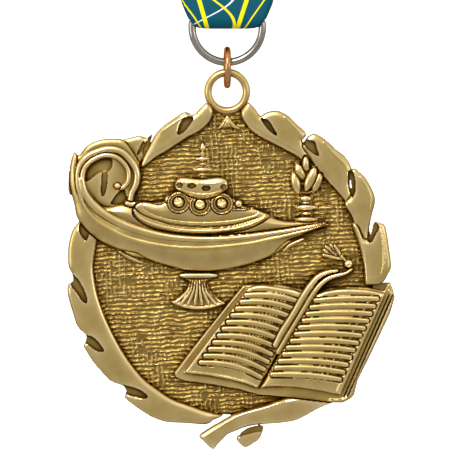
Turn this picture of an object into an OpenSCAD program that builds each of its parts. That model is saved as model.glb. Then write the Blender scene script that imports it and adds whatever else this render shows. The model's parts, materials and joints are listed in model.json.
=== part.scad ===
// Hanging award medal: one die-cast relief medal with a lamp, an open book and a laurel
// wreath, on a jump ring, a ribbon ring and a folded neck ribbon.
// X runs to the right, the front faces -Y and +Z is up. The origin is level with the axis
// of the rod or hook that the ribbon hangs over, in the middle plane of the ribbon's front
// band, which is also the plane of the rings. The rod's axis lies rod_y behind it.

/* [Casting] */
// Thickness of the flat plate behind the relief
plate_t = 1.8; // [1.2:0.1:3]
// Size of the relief outlines against the drawn ones
relief_scale = 1; // [0.7:0.05:1.4]
// Diameter of the textured field
field_d = 48; // [46:0.5:50]
// How far the field lies in front of the loop's middle plane
field_front = 0.3; // [0:0.1:0.6]
// Diameter of the shallow recess in the back
recess_d = 40; // [20:1:42]
// Depth of the recess in the back
recess_t = 0.3; // [0.1:0.1:0.6]

/* [Relief heights] */
// Laurel leaves above the field
leaf_h = 1.3; // [0.6:0.1:2]
// Crossed stems above the field
stem_h = 1.5; // [0.6:0.1:2]
// Lamp bowl above the field
bowl_h = 1.6; // [0.8:0.1:2.5]
// Lamp rim above the field
rim_h = 1.8; // [0.8:0.1:2.5]
// Lamp handle above the field
handle_h = 1.6; // [0.8:0.1:2.5]
// Lamp lid above the field
lid_h = 1.3; // [0.6:0.1:2]
// Pearls on the lid above the field
pearl_h = 1.6; // [0.6:0.1:2.2]
// Small ornaments above the field
trim_h = 1.2; // [0.6:0.1:2]
// Book cover above the field
cover_h = 0.9; // [0.4:0.1:1.5]
// Book pages above the field
page_h = 1.5; // [0.6:0.1:2.2]
// Raised lines and bookmark above the pages
line_h = 0.2; // [0.1:0.05:0.4]

/* [Loop and rings] */
// Inside diameter of the cast loop
loop_id = 5.1; // [4.4:0.1:7]
// Thickness of the cast loop
loop_wire_d = 1.3; // [1:0.1:1.8]
// Inside diameter of the jump ring
jump_id = 4.8; // [4.2:0.1:5.4]
// Wire diameter of the jump ring
jump_wire_d = 1.1; // [0.8:0.1:1.4]
// Outside width of the ribbon ring
ring_w = 13; // [11:0.5:18]
// Wire diameter of the ribbon ring
ring_wire_d = 1.3; // [1:0.1:1.8]
// Height of the ribbon ring's straight bar above the centre of its round part
bar_rise = 1.6; // [1.2:0.1:4]
// Bend radius of the ribbon ring's two corners, to the middle of the wire
corner_r = 1.3; // [0.8:0.1:1.5]

/* [Ribbon] */
// Width of the neck ribbon
ribbon_w = 22; // [18:1:32]
// Thickness of the doubled ribbon
band_t = 1; // [0.6:0.1:1.6]
// Diameter of the rod or hook that the ribbon hangs over
rod_d = 8; // [6:1:14]
// Drop from the rod's axis to the ribbon ring's bar
band_drop = 50.6; // [30:0.1:90]
// Thickness of the folded hank of ribbon
hank_t = 11; // [6:1:16]
// Length of the hank's folds
hank_len = 36; // [20:2:60]
// Width of the band that ties the hank
tie_w = 6; // [4:1:10]
// Thickness of the band that ties the hank
tie_t = 0.5; // [0.3:0.1:1]

/* [Fits] */
// Radial clearance of the ring's bar in the ribbon's fold
bar_gap = 0.05; // [0.02:0.01:0.1]
// Play between links that hang in each other, as they lie when the medal is laid out
link_gap = 0.9; // [0.3:0.05:0.95]

/* [Hidden] */
$fn = 64;

// The links, from the ribbon ring's bar downwards
bar_z = -band_drop;
ring_r = (ring_w - ring_wire_d) / 2;
ring_z = bar_z - bar_rise;
ring_low_z = ring_z - ring_r;
jump_r = (jump_id + jump_wire_d) / 2;
jump_z = ring_low_z - (jump_id - ring_wire_d) / 2 + link_gap;
jump_low_z = jump_z - jump_r;
loop_r = (loop_id + loop_wire_d) / 2;
loop_out = loop_id / 2 + loop_wire_d;
loop_top_z = jump_z - (jump_id - loop_wire_d) / 2 + link_gap;
loop_z = loop_top_z - loop_r;

// The medal's drawn outlines have their origin at the middle of the wreath
loop_up = 29.4;                 // from there to the loop's middle
loop_side = -0.3;               // the loop stands this far left of the wreath's middle
field_y = -field_front;
back_y = field_y + plate_t;

// Ribbon: the doubled band hangs in the plane of the rings
fold_r = ring_wire_d / 2 + bar_gap;             // bore of the fold round the bar
fold_out = fold_r + band_t / 2;
fold_w = ring_w - ring_wire_d - 2 * corner_r - 0.4;
flare_z = bar_z + fold_out + 0.3;               // the band spreads above the ring
rod_out = rod_d / 2 + band_t;
hank_y = rod_out + rod_d / 2 + band_t / 2;      // front face of the hank
band_y = 0;
rod_y = rod_d / 2 + band_t / 2;

// A closed curve through the points p, with n steps from each point to the next
function curve(p, n = 4) = let (m = len(p)) [
    for (i = [0 : m - 1]) for (j = [0 : n - 1])
        let (t = j / n, a = p[(i + m - 1) % m], b = p[i], c = p[(i + 1) % m],
            d = p[(i + 2) % m])
        b + (c - a) * t / 2 + (2 * a - 5 * b + 4 * c - d) * t * t / 2
            + (3 * b - a - 3 * c + d) * t * t * t / 2
];

// Outlines in the plane of the medal
left_branch = [[-4.1, 27.3], [-6.7, 26], [-7.8, 25.7], [-13.3, 22.5], [-18, 21.5],
    [-20.5, 21.5], [-24, 20.2], [-25.9, 18.9], [-26.7, 15.2], [-26.5, 12.2], [-25.3, 7.7],
    [-26.2, 5.8], [-26.8, 2.3], [-26.7, -0.2], [-26, -2.3], [-26.8, -3.2], [-26.7, -5.3],
    [-25.3, -9.5], [-23.9, -11.5], [-24.2, -12.5], [-22.7, -15.5], [-20.5, -17.8],
    [-17.8, -19.5], [-17.3, -21.5], [-14.2, -24], [-10.3, -25.5], [-3.7, -25.9],
    [-1, -24.7], [-4.3, -23.7], [-9.5, -21.8], [-14.2, -18.5], [-18, -13.3],
    [-20.7, -7.8], [-22.2, -3.7], [-22.7, 0.7], [-21.8, 4.8], [-19.6, 11],
    [-14.7, 17], [-10.7, 19.2], [-6.5, 21.3], [-4, 23.8], [-2.7, 25.8]];
right_branch = [[3.7, 27.2], [5.3, 25.2], [6.3, 26], [8.8, 26], [12.7, 22.8],
    [14.8, 22.3], [17.7, 20], [20.3, 17], [22.7, 15.2], [24.3, 11.7], [23.8, 7.8],
    [25.8, 7.3], [26.7, 1.2], [26.3, -2.2], [24, -12], [22.4, -10], [22.7, -2.3],
    [22.2, 2.3], [21.2, 5.8], [19, 10.5], [16.8, 14.3], [11.3, 18.3], [6.7, 20.7],
    [3.3, 23], [2.2, 24.8]];
right_stem = [[18.7, -22.3], [11.3, -25.3], [3.3, -26.2], [-1, -28.7], [-2.5, -30.2],
    [-5, -28], [-3.5, -26.2], [-1, -24.8], [4.2, -23.5], [9.2, -21.7], [15, -20]];
left_stem = [[0.2, -27.2], [2.7, -29.7], [5, -28.2], [5.3, -25.5], [2, -25]];
bowl = [[16.7, 7.3], [13.2, 7.4], [11.5, 7], [8, 7.3], [4, 7.8], [-4, 7.4], [-12, 8.2],
    [-16.5, 9], [-19.2, 9.6], [-21.3, 11], [-23.2, 12.8], [-24.7, 14.9], [-26.3, 14.9],
    [-25.8, 11], [-25.2, 8.3], [-22.3, 5.2], [-18, 3], [-14.3, 2], [-8.5, 0], [-2.3, -0.7],
    [2.7, 0.3], [7.2, 2], [9.7, 4], [13, 5.3]];
rim = [[16, 7.1], [11.8, 5.8], [6.7, 5.3], [-2.3, 5], [-8.5, 5.3], [-11.8, 5.8],
    [-15.5, 7], [-19.2, 8.8], [-21.3, 10.2], [-23.2, 12], [-24.6, 14.6], [-24, 11],
    [-22, 7.8], [-19.2, 5.7], [-14.5, 4], [-8.5, 2.9], [-2.3, 2.6], [4, 3.1], [9, 4.4]];
handle = [[-26.7, 15.4], [-25.2, 17.3], [-23.7, 19.2], [-21.5, 20.2], [-18.2, 20.2],
    [-16.5, 19], [-14.9, 16.8], [-14.7, 15.5], [-15.7, 12.2], [-14.8, 11.2], [-15.7, 10.7],
    [-17.2, 11.5], [-18, 13], [-18.6, 13.7], [-17.7, 14.7], [-17.2, 16], [-17.8, 17.5],
    [-20, 18.5], [-22.2, 17.8], [-23.5, 16.2], [-24.5, 14.8]];
lid = [[-16.5, 9.3], [-14, 10.8], [-9, 11.7], [0.5, 11.5], [3.5, 10.4], [6.7, 8.7],
    [3.7, 7], [-2.3, 5.7], [-8.5, 5.7], [-13.2, 7.3]];
crown = [[-9, 11.5], [-8.8, 14], [-4.6, 14.9], [-0.6, 14], [-0.3, 11.5], [-4.6, 11]];
foot = [[-8.2, -1], [-6.9, -1.6], [-7, -2.6], [-9.7, -5.5], [-9.5, -6.5], [-5, -6.8],
    [-0.5, -6.5], [-0.3, -5.5], [-3.1, -2.6], [-3.2, -1.6], [-2, -1]];
cover = [[2.3, -2.7], [7, -2.6], [12, -3.3], [14.2, -4.2], [17, -3], [22, -2.6],
    [26.8, -2.4], [27.5, -4.8], [26.8, -7.5], [21.2, -20], [20.7, -21], [19.3, -22.2],
    [17.5, -22.3], [7.3, -20.6], [5.1, -21], [-2.5, -19.3], [-8.8, -18], [-9.2, -17.3]];
left_page = [[2.7, -3.2], [5.8, -2.9], [12.1, -3.9], [5.2, -20.1], [0, -18.5], [-8, -17.5]];
right_page = [[12.3, -4], [14.2, -4.7], [17, -3.7], [22, -3.5], [26.2, -4.2],
    [18.5, -21.2], [7.3, -19.8], [5.3, -20.1]];
mark = [[8, -14.4], [12, -4.8], [14.2, -1.7], [16.5, -0.5], [18.8, -0.5], [20.5, 0.1],
    [20.8, -0.4], [18.8, -1.3], [16.8, -1.3], [15, -2.3], [12.8, -5.2], [9, -14]];
tassel = [[20.7, 0.7], [20, 1.5], [19.3, 2.2], [18.2, 3.6], [16.4, 4.2], [15.6, 3],
    [15.6, 1.8], [18.4, 1.5], [18.9, 0.6]];
petals = [[-1.8, 17.3, -0.4, 15], [-2.3, 16, -0.8, 12.8], [0, 17.6, 0, 14.6],
    [1.5, 16.8, -0.2, 13], [2.2, 15.8, 0.7, 12.6]];      // tip and root of each petal

flame_x = 12.8;                 // the flame and its burner stand over the spout
finial_x = -4.3;                // the finial stands on the middle of the crown
pearl_r = 1.6;
line_w = 0.4;
left_lines = 11;
right_lines = 12;

// Places drawn outlines on the hanging medal, standing h out of the field from a height
module relief(h, from = 0)
    translate([-loop_side * relief_scale, field_y - from, loop_z - loop_up * relief_scale])
        rotate([90, 0, 0])
            linear_extrude(h - from)
                scale(relief_scale)
                    children();

// The hole that the loop leaves in everything behind it, drawn at true size
module loop_room()
    translate([loop_side, loop_up])
        scale(1 / relief_scale)
            circle(r = loop_out);

module bowl_face() polygon(curve(bowl));
module rim_face() polygon(curve(rim));
module handle_face() polygon(curve(handle));
module lid_face() polygon(curve(lid));
module crown_face() polygon(curve(crown));
module foot_face() polygon(foot);
module cover_face() polygon(cover);
module stem_face() union() {
    polygon(curve(right_stem));
    polygon(curve(left_stem));
}
module pearl_face()
    for (x = [-10.2, -8.4, -5, -1.5, 1.5])
        translate([x, abs(x + 4.3) > 5 ? 11.2 : 10.1])
            circle(r = abs(x + 4.3) > 5 ? pearl_r * 0.6 : pearl_r);
module burner_face() union() {
    translate([flame_x - 1.6, 7.2]) square([3.4, 1.8]);
    translate([flame_x - 1.7, 9.2]) square([3.6, 2]);
    translate([flame_x - 1.1, 11.2]) square([2.3, 0.8]);
    translate([flame_x - 0.8, 7.2]) square([1.6, 4.8]);
}
module petal_face()
    for (p = petals)
        translate([flame_x, 0])
            hull() {
                translate([p[0], p[1]]) circle(r = 0.2);
                translate([(p[0] + p[2]) / 2, (p[1] + p[3]) / 2]) circle(r = 0.8);
                translate([p[2], p[3]]) circle(r = 0.4);
            }
module finial_face() union() {
    translate([finial_x, 16.4]) square([3, 1.2], center = true);
    translate([finial_x, 18.2]) square([2.1, 1.2], center = true);
    translate([finial_x, 17.3]) square([1.2, 4.6], center = true);
    translate([finial_x, 19.9]) circle(r = 0.7);
}
module lamp_face() union() {
    bowl_face();
    handle_face();
    lid_face();
    crown_face();
}
module wreath_left_face() difference() {
    polygon(curve(left_branch, 3));
    lamp_face();
    stem_face();
    loop_room();
}
module wreath_right_face() difference() {
    polygon(curve(right_branch, 3));
    cover_face();
    tassel_face();
    loop_room();
}
module tassel_face() polygon(tassel);
module mark_face() polygon(mark);

module plate_layer()
    translate([-loop_side * relief_scale, back_y, loop_z - loop_up * relief_scale])
        rotate([90, 0, 0])
            linear_extrude(plate_t)
                scale(relief_scale)
                    children();

module medal_plate() color("darkgoldenrod") difference() {
    union() {
        plate_layer() circle(d = field_d);
        plate_layer() polygon(curve(left_branch, 3));
        plate_layer() polygon(curve(right_branch, 3));
        plate_layer() stem_face();
        plate_layer() cover_face();
    }
    translate([-loop_side * relief_scale, back_y + 1, loop_z - loop_up * relief_scale])
        rotate([90, 0, 0])
            linear_extrude(plate_t + 2)
                scale(relief_scale)
                    loop_room();
    translate([-loop_side * relief_scale, back_y + 1, loop_z - loop_up * relief_scale])
        rotate([90, 0, 0])
            cylinder(d = recess_d * relief_scale, h = recess_t + 1, $fn = 96);
}

module suspension_loop() color("darkgoldenrod") translate([0, 0, loop_z]) {
    rotate([90, 0, 0])
        rotate_extrude()
            translate([loop_r, 0])
                circle(d = loop_wire_d, $fn = 32);
    // The foot of the loop, where it runs into the plate
    translate([0, back_y, 0])
        rotate([90, 0, 0])
            linear_extrude(plate_t)
                intersection() {
                    difference() {
                        circle(r = loop_out);
                        circle(r = loop_r);
                    }
                    translate([-loop_out, -loop_out]) square([2 * loop_out, loop_out * 0.7]);
                }
}

module loop_leaf() color("darkgoldenrod") relief(leaf_h) difference() {
    polygon([[-0.6, 26.5], [0.1, 25.6], [1.6, 23.4], [-0.3, 22.6], [-1.9, 23.4]]);
    loop_room();
}
module wreath_left() color("darkgoldenrod") relief(leaf_h) wreath_left_face();
module wreath_right() color("darkgoldenrod") relief(leaf_h) wreath_right_face();
module crossed_stems() color("darkgoldenrod") relief(stem_h) difference() {
    stem_face();
    cover_face();
}
module lamp_bowl() color("goldenrod") relief(bowl_h) difference() {
    bowl_face();
    rim_face();
    lid_face();
    handle_face();
}
module lamp_rim() color("goldenrod") relief(rim_h) difference() {
    rim_face();
    handle_face();
    lid_face();
}
module lamp_handle() color("goldenrod") relief(handle_h) handle_face();
module lamp_lid() color("goldenrod") relief(lid_h) difference() {
    lid_face();
    handle_face();
    pearl_face();
    crown_face();
}
module lamp_pearls() color("goldenrod") relief(pearl_h) pearl_face();
module lamp_crown() color("goldenrod") relief(trim_h) difference() {
    crown_face();
    pearl_face();
}
module lamp_finial() color("goldenrod") relief(trim_h) difference() {
    finial_face();
    crown_face();
}
module lamp_burner() color("goldenrod") relief(trim_h) difference() {
    burner_face();
    bowl_face();
    rim_face();
}
module lamp_flame() color("goldenrod") relief(trim_h) difference() {
    petal_face();
    burner_face();
    polygon(curve(right_branch, 3));
}
module lamp_foot() color("goldenrod") relief(trim_h) difference() {
    foot_face();
    bowl_face();
    cover_face();
}
module book_cover() color("goldenrod") relief(cover_h) difference() {
    cover_face();
    polygon(left_page);
    polygon(right_page);
}
module left_pages() color("goldenrod") relief(page_h) polygon(left_page);
module right_pages() color("goldenrod") relief(page_h) polygon(right_page);

// A raised line lies along each row of the pages, short of their edges
module page_row(a, b, c, d, rows)
    for (i = [1 : rows])
        let (t = i / (rows + 1), p = a + (b - a) * t, q = c + (d - c) * t, v = q - p)
            translate(p + v * 0.08)
                rotate(atan2(v[1], v[0]))
                    translate([0, -line_w / 2])
                        square([norm(v) * 0.78, line_w]);
module page_lines() color("goldenrod") relief(page_h + line_h, page_h) difference() {
    union() {
        page_row([2.7, -3.4], [-7.6, -17.4], [12, -4.4], [5.4, -19.4], left_lines);
        page_row([13.8, -5], [7.3, -19.4], [25.8, -4.6], [18.6, -20.8], right_lines);
    }
    mark_face();
}
module bookmark() color("goldenrod") {
    relief(page_h) difference() {
        mark_face();
        cover_face();
    }
    relief(page_h + line_h, page_h) mark_face();
}
module bookmark_tassel() color("goldenrod") relief(trim_h) difference() {
    tassel_face();
    mark_face();
    wreath_right_outline();
}
module wreath_right_outline() intersection() {
    polygon(curve(right_branch, 3));
    translate([20.9, -5]) square(20);
}

module jump_ring() color("rosybrown") translate([0, 0, jump_z])
    rotate([0, 90, 0])
        rotate_extrude()
            translate([jump_r, 0])
                circle(d = jump_wire_d, $fn = 32);

module wire_bend(radius, degrees)
    rotate_extrude(angle = degrees)
        translate([radius, 0])
            circle(d = ring_wire_d, $fn = 32);

module ribbon_ring() color("silver") {
    translate([0, 0, ring_z])
        rotate([90, 0, 0])
            mirror([0, 1, 0])
                wire_bend(ring_r, 180);
    for (side = [0, 1]) mirror([side, 0, 0]) {
        translate([ring_r, 0, ring_z]) cylinder(d = ring_wire_d, h = bar_rise - corner_r, $fn = 32);
        translate([ring_r - corner_r, 0, bar_z - corner_r])
            rotate([90, 0, 0])
                wire_bend(corner_r, 90);
    }
    translate([-ring_r + corner_r, 0, bar_z])
        rotate([0, 90, 0])
            cylinder(d = ring_wire_d, h = 2 * (ring_r - corner_r), $fn = 32);
}

// Strap of the doubled ribbon between two heights, w0 wide below and w1 above
module strap(w0, w1, z0, z1)
    translate([0, band_y + band_t / 2, 0])
        rotate([90, 0, 0])
            linear_extrude(band_t)
                polygon([[-w0 / 2, z0], [w0 / 2, z0], [w1 / 2, z1], [-w1 / 2, z1]]);

module neck_ribbon() color("teal") difference() {
    union() {
        translate([-fold_w / 2, 0, bar_z]) rotate([0, 90, 0]) cylinder(r = fold_out, h = fold_w);
        strap(fold_w, fold_w, bar_z, flare_z);
        strap(fold_w + 3, ribbon_w, flare_z, flare_z + 10);
        strap(ribbon_w, ribbon_w, flare_z + 10, 0);
        // Over the rod and down to the hank
        translate([-ribbon_w / 2, rod_y, 0])
            rotate([90, 0, 90])
                linear_extrude(ribbon_w)
                    difference() {
                        circle(r = rod_out);
                        circle(d = rod_d);
                        translate([-rod_out, -rod_out]) square([2 * rod_out, rod_out]);
                    }
        translate([-ribbon_w / 2, hank_y - band_t, -6]) cube([ribbon_w, band_t, 6]);
    }
    translate([-ring_w, 0, bar_z]) rotate([0, 90, 0]) cylinder(r = fold_r, h = 2 * ring_w);
}

module ribbon_hank() color("teal")
    translate([-ribbon_w / 2, hank_y - band_t, -6 - hank_len])
        cube([ribbon_w, hank_t, hank_len]);

module ribbon_tie() color("black")
    translate([0, 0, -6 - hank_len / 2 - tie_w / 2])
        linear_extrude(tie_w)
            translate([0, hank_y - band_t])
                difference() {
                    translate([-ribbon_w / 2 - tie_t, -tie_t])
                        square([ribbon_w + 2 * tie_t, hank_t + 2 * tie_t]);
                    translate([-ribbon_w / 2, 0]) square([ribbon_w, hank_t]);
                }

module ribbon_stitching() color("white")
    for (row = [0, 1])
        for (x = [-6 : 1.5 : 6])
            translate([x - 0.4, band_y - band_t / 2 - 0.15, flare_z + 4 + row * 2.5])
                cube([0.9, 0.15, 0.3]);

medal_plate();
suspension_loop();
loop_leaf();
wreath_left();
wreath_right();
crossed_stems();
lamp_bowl();
lamp_rim();
lamp_handle();
lamp_lid();
lamp_pearls();
lamp_crown();
lamp_finial();
lamp_burner();
lamp_flame();
lamp_foot();
book_cover();
left_pages();
right_pages();
page_lines();
bookmark();
bookmark_tassel();
jump_ring();
ribbon_ring();
neck_ribbon();
ribbon_hank();
ribbon_stitching();
ribbon_tie();
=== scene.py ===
import bpy
import bmesh
import json
import math
import numpy as np
from mathutils import Matrix, Vector


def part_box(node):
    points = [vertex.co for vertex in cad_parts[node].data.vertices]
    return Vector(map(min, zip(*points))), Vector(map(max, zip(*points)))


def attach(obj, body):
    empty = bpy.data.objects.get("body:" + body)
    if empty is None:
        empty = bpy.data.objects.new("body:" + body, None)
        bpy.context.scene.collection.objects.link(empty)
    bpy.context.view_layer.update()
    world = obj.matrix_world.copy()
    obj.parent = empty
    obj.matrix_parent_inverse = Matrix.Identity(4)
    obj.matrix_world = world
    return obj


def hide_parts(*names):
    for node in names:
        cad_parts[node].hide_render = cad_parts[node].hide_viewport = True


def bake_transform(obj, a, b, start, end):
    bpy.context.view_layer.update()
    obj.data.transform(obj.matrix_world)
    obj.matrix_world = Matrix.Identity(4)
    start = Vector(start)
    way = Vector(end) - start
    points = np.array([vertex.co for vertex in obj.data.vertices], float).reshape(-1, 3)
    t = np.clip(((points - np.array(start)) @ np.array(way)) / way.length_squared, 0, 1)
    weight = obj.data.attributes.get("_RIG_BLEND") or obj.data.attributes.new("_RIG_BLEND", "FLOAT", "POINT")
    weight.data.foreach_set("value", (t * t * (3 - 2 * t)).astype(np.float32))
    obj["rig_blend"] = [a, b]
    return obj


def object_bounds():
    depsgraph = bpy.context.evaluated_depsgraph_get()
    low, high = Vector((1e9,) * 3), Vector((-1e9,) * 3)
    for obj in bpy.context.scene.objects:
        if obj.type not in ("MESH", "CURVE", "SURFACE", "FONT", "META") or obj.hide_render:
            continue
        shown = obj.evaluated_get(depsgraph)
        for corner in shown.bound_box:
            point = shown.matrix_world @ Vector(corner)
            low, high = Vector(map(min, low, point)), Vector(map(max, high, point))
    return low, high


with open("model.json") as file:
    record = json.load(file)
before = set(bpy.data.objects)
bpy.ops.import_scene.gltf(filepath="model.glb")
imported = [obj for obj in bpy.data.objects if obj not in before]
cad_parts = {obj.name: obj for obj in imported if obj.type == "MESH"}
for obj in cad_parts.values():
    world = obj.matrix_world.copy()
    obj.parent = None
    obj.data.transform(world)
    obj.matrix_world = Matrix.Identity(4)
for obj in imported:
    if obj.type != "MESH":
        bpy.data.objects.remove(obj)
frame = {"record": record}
CAD_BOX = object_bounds()

# ---------------------------------------------------------------- sizes and places
MM = 0.001
MOUNTS = {m["name"]: m for m in frame["record"]["mounts"]}
MIDDLE = Vector(MOUNTS["medal_back"]["pos_m"])      # middle of the wreath, on the back
FIELD_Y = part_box("left_pages")[1][1]                # the plate's front face
BACK_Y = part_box("medal_plate")[1][1]
RECESS_DEEP = BACK_Y - MIDDLE.y
RECESS_R = 20 * MM
LOOP_R = 3.2          # the cast loop, to the middle of its wire, in mm
LOOP_WIRE_R = 0.65    # half the thickness of the cast loop's wire
JUMP_WIRE_R = 0.55    # half the thickness of the jump ring's wire
RING_WIRE_R = 0.65    # half the thickness of the ribbon ring's wire
RING_CORNER_R = 1.3   # bend where the ring's bar meets its arms


def curve(points, steps):
    """A smooth closed line through the points."""
    p = np.array(points, float)
    if steps < 2:
        return p
    a, c, d = np.roll(p, 1, 0), np.roll(p, -1, 0), np.roll(p, -2, 0)
    rows = []
    for t in np.arange(steps) / steps:
        rows.append(p + (c - a) * t / 2 + (2 * a - 5 * p + 4 * c - d) * t * t / 2
                    + (3 * p - a - 3 * c + d) * t ** 3 / 2)
    return np.stack(rows, 1).reshape(-1, 2)


def open_curve(points, steps):
    """A smooth open line through the points."""
    p = np.array(points, float)
    if steps < 2 or len(p) < 3:
        return p
    ends = np.vstack([2 * p[0] - p[1], p, 2 * p[-1] - p[-2]])
    out = []
    for i in range(len(p) - 1):
        a, b, c, d = ends[i:i + 4]
        for t in np.arange(steps) / steps:
            out.append(b + (c - a) * t / 2 + (2 * a - 5 * b + 4 * c - d) * t * t / 2
                       + (3 * b - a - 3 * c + d) * t ** 3 / 2)
    out.append(p[-1])
    return np.array(out)


def nearest(gx, gz, line, closed):
    """Distance to a line, the nearest point on it, and how far along the line that is."""
    ends = np.roll(line, -1, 0) if closed else line[1:]
    best = np.full(gx.shape, 1e9)
    qx, qz, along = np.zeros(gx.shape), np.zeros(gx.shape), np.zeros(gx.shape)
    total = 0.0
    for a, b in zip(line, ends):
        d = b - a
        size = float(np.hypot(*d))
        if size < 1e-6:
            continue
        t = np.clip(((gx - a[0]) * d[0] + (gz - a[1]) * d[1]) / size ** 2, 0, 1)
        x, z = a[0] + t * d[0], a[1] + t * d[1]
        far = (gx - x) ** 2 + (gz - z) ** 2
        m = far < best
        best[m], qx[m], qz[m] = far[m], x[m], z[m]
        along[m] = total + t[m] * size
        total += size
    return np.sqrt(best), qx, qz, along / total


def inside(gx, gz, line):
    """Which points lie inside a closed line."""
    hit = np.zeros(gx.shape, bool)
    for (ax, az), (bx, bz) in zip(line, np.roll(line, -1, 0)):
        if az == bz:
            continue
        crosses = (az > gz) != (bz > gz)
        hit ^= crosses & (gx < (bx - ax) * (gz - az) / (bz - az) + ax)
    return hit


def soften(values, reach):
    """Blurs a board over about that many cells."""
    out = values.astype(float)
    k = max(1, int(round(reach)))
    for _ in range(3):
        for axis in (0, 1):
            pad = [(k + 1, k) if n == axis else (0, 0) for n in (0, 1)]
            sums = np.cumsum(np.pad(out, pad, mode="edge"), axis)
            hi = np.take(sums, range(2 * k + 1, sums.shape[axis]), axis)
            lo = np.take(sums, range(0, sums.shape[axis] - 2 * k - 1), axis)
            out = (hi - lo) / (2 * k + 1)
    return out


def waves(gx, gz, size, seed):
    """Smooth random hills of about that size, between 0 and 1."""
    rng = np.random.default_rng(seed)
    knots = rng.random((80, 80))
    u, v = (gx + 40) / size % 79, (gz + 40) / size % 79
    i, j = u.astype(int), v.astype(int)
    fu, fv = u - i, v - j
    fu, fv = fu * fu * (3 - 2 * fu), fv * fv * (3 - 2 * fv)
    low = knots[i, j] * (1 - fu) + knots[i + 1, j] * fu
    high = knots[i, j + 1] * (1 - fu) + knots[i + 1, j + 1] * fu
    return low * (1 - fv) + high * fv


class Board:
    """The die's drawing board: heights above the field, in mm, on a fine square grid."""

    STEP = 0.12

    def __init__(self, low, high):
        self.xs = np.arange(low[0], high[0], self.STEP)
        self.zs = np.arange(low[1], high[1], self.STEP)
        self.gx, self.gz = np.meshgrid(self.xs, self.zs, indexing="ij")
        self.x, self.z = self.gx.copy(), self.gz.copy()
        self.h = np.zeros(self.gx.shape)
        self.part = np.full(self.gx.shape, -1)
        self.names = []

    def number(self, name):
        if name not in self.names:
            self.names.append(name)
        return self.names.index(name)

    def window(self, line, margin):
        low, high = line.min(0) - margin, line.max(0) + margin
        i = np.clip(((low[0] - self.xs[0]) / self.STEP, (high[0] - self.xs[0]) / self.STEP + 2),
                    0, len(self.xs)).astype(int)
        j = np.clip(((low[1] - self.zs[0]) / self.STEP, (high[1] - self.zs[0]) / self.STEP + 2),
                    0, len(self.zs)).astype(int)
        return slice(*i), slice(*j)

    def put(self, w, where, name, h, x, z, add):
        """Writes heights, and moves the grid's points onto the edge of a new shape."""
        if name is None:
            where = where & (self.part[w] >= 0)
        else:
            self.part[w][where] = self.number(name)
        if add:
            self.h[w][where] += h[where]
        else:
            self.h[w][where] = h[where]
        if x is not None:
            self.x[w][where] = x[where]
            self.z[w][where] = z[where]

    def area(self, name, points, top, edge=0.5, wall=0.55, steps=4, base=0.0, lean=None,
             only=None, add=False):
        """A raised shape inside an outline, with a wall and a rounded shoulder."""
        line = curve(points, steps)
        w = self.window(line, self.STEP)
        gx, gz = self.gx[w], self.gz[w]
        d, qx, qz, _ = nearest(gx, gz, line, True)
        snap = d < 0.55 * self.STEP
        where = inside(gx, gz, line) | snap
        if only is not None:
            where &= np.isin(self.part[w], [self.number(n) for n in only])
        d = np.where(snap, 0, d)
        rise = np.sqrt(1 - (1 - np.clip(d / edge, 0, 1)) ** 2)
        h = base + (top - base) * (wall + (1 - wall) * rise)
        if lean is not None:
            middle = line.mean(0)
            h = h + lean[0] * (gx - middle[0]) + lean[1] * (gz - middle[1])
        x, z = np.where(snap, qx, gx), np.where(snap, qz, gz)
        self.put(w, where, name, h, x, z, add)

    def ridge(self, name, points, width, height, steps=4, base=0.0, wall=0.4, add=False,
              only=None, merge=False):
        """A round-topped strap along a line; width may change along it."""
        line = open_curve(points, steps)
        widths = np.atleast_1d(width)
        w = self.window(line, widths.max())
        gx, gz = self.gx[w], self.gz[w]
        d, qx, qz, along = nearest(gx, gz, line, False)
        half = np.interp(along, np.linspace(0, 1, len(widths)), widths) / 2
        snap = abs(d - half) < 0.5 * self.STEP
        where = (d < half) | snap
        if only is not None:
            where &= np.isin(self.part[w], [self.number(n) for n in only])
        t = np.where(snap, 1, np.clip(d / np.maximum(half, 1e-6), 0, 1))
        rise = np.sqrt(1 - t * t)
        if add:
            self.put(w, where, name, height * rise, None, None, True)
            return
        h = base + height * (wall + (1 - wall) * rise)
        if merge:
            where &= h > self.h[w] + 0.01
        f = np.where(snap & (d > 1e-6), half / np.maximum(d, 1e-6), 1)
        self.put(w, where, name, h, qx + (gx - qx) * f, qz + (gz - qz) * f, False)

    def bead(self, name, x, z, rx, rz, height, base=0.0, wall=0.4, turn=0.0, add=False):
        """A round or oval button."""
        reach = max(rx, rz)
        w = self.window(np.array([[x, z]]), reach + self.STEP)
        gx, gz = self.gx[w] - x, self.gz[w] - z
        c, s = math.cos(math.radians(turn)), math.sin(math.radians(turn))
        t = np.hypot((gx * c + gz * s) / rx, (-gx * s + gz * c) / rz)
        snap = abs(t - 1) * min(rx, rz) < 0.5 * self.STEP
        where = (t < 1) | snap
        rise = np.sqrt(1 - np.where(snap, 1, np.clip(t, 0, 1)) ** 2)
        if add:
            self.put(w, where, name, height * rise, None, None, True)
            return
        h = base + height * (wall + (1 - wall) * rise)
        f = np.where(snap, 1 / np.maximum(t, 1e-6), 1)
        self.put(w, where, name, h, x + gx * f, z + gz * f, False)

    def notch(self, points, floor, steps=3):
        """A slit cut down to a floor height in whatever is there."""
        self.area(None, points, floor, edge=0.3, wall=1, steps=steps)


# ---------------------------------------------------------------- the relief
board = Board((-28, -31), (28.6, 28.8))


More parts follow.
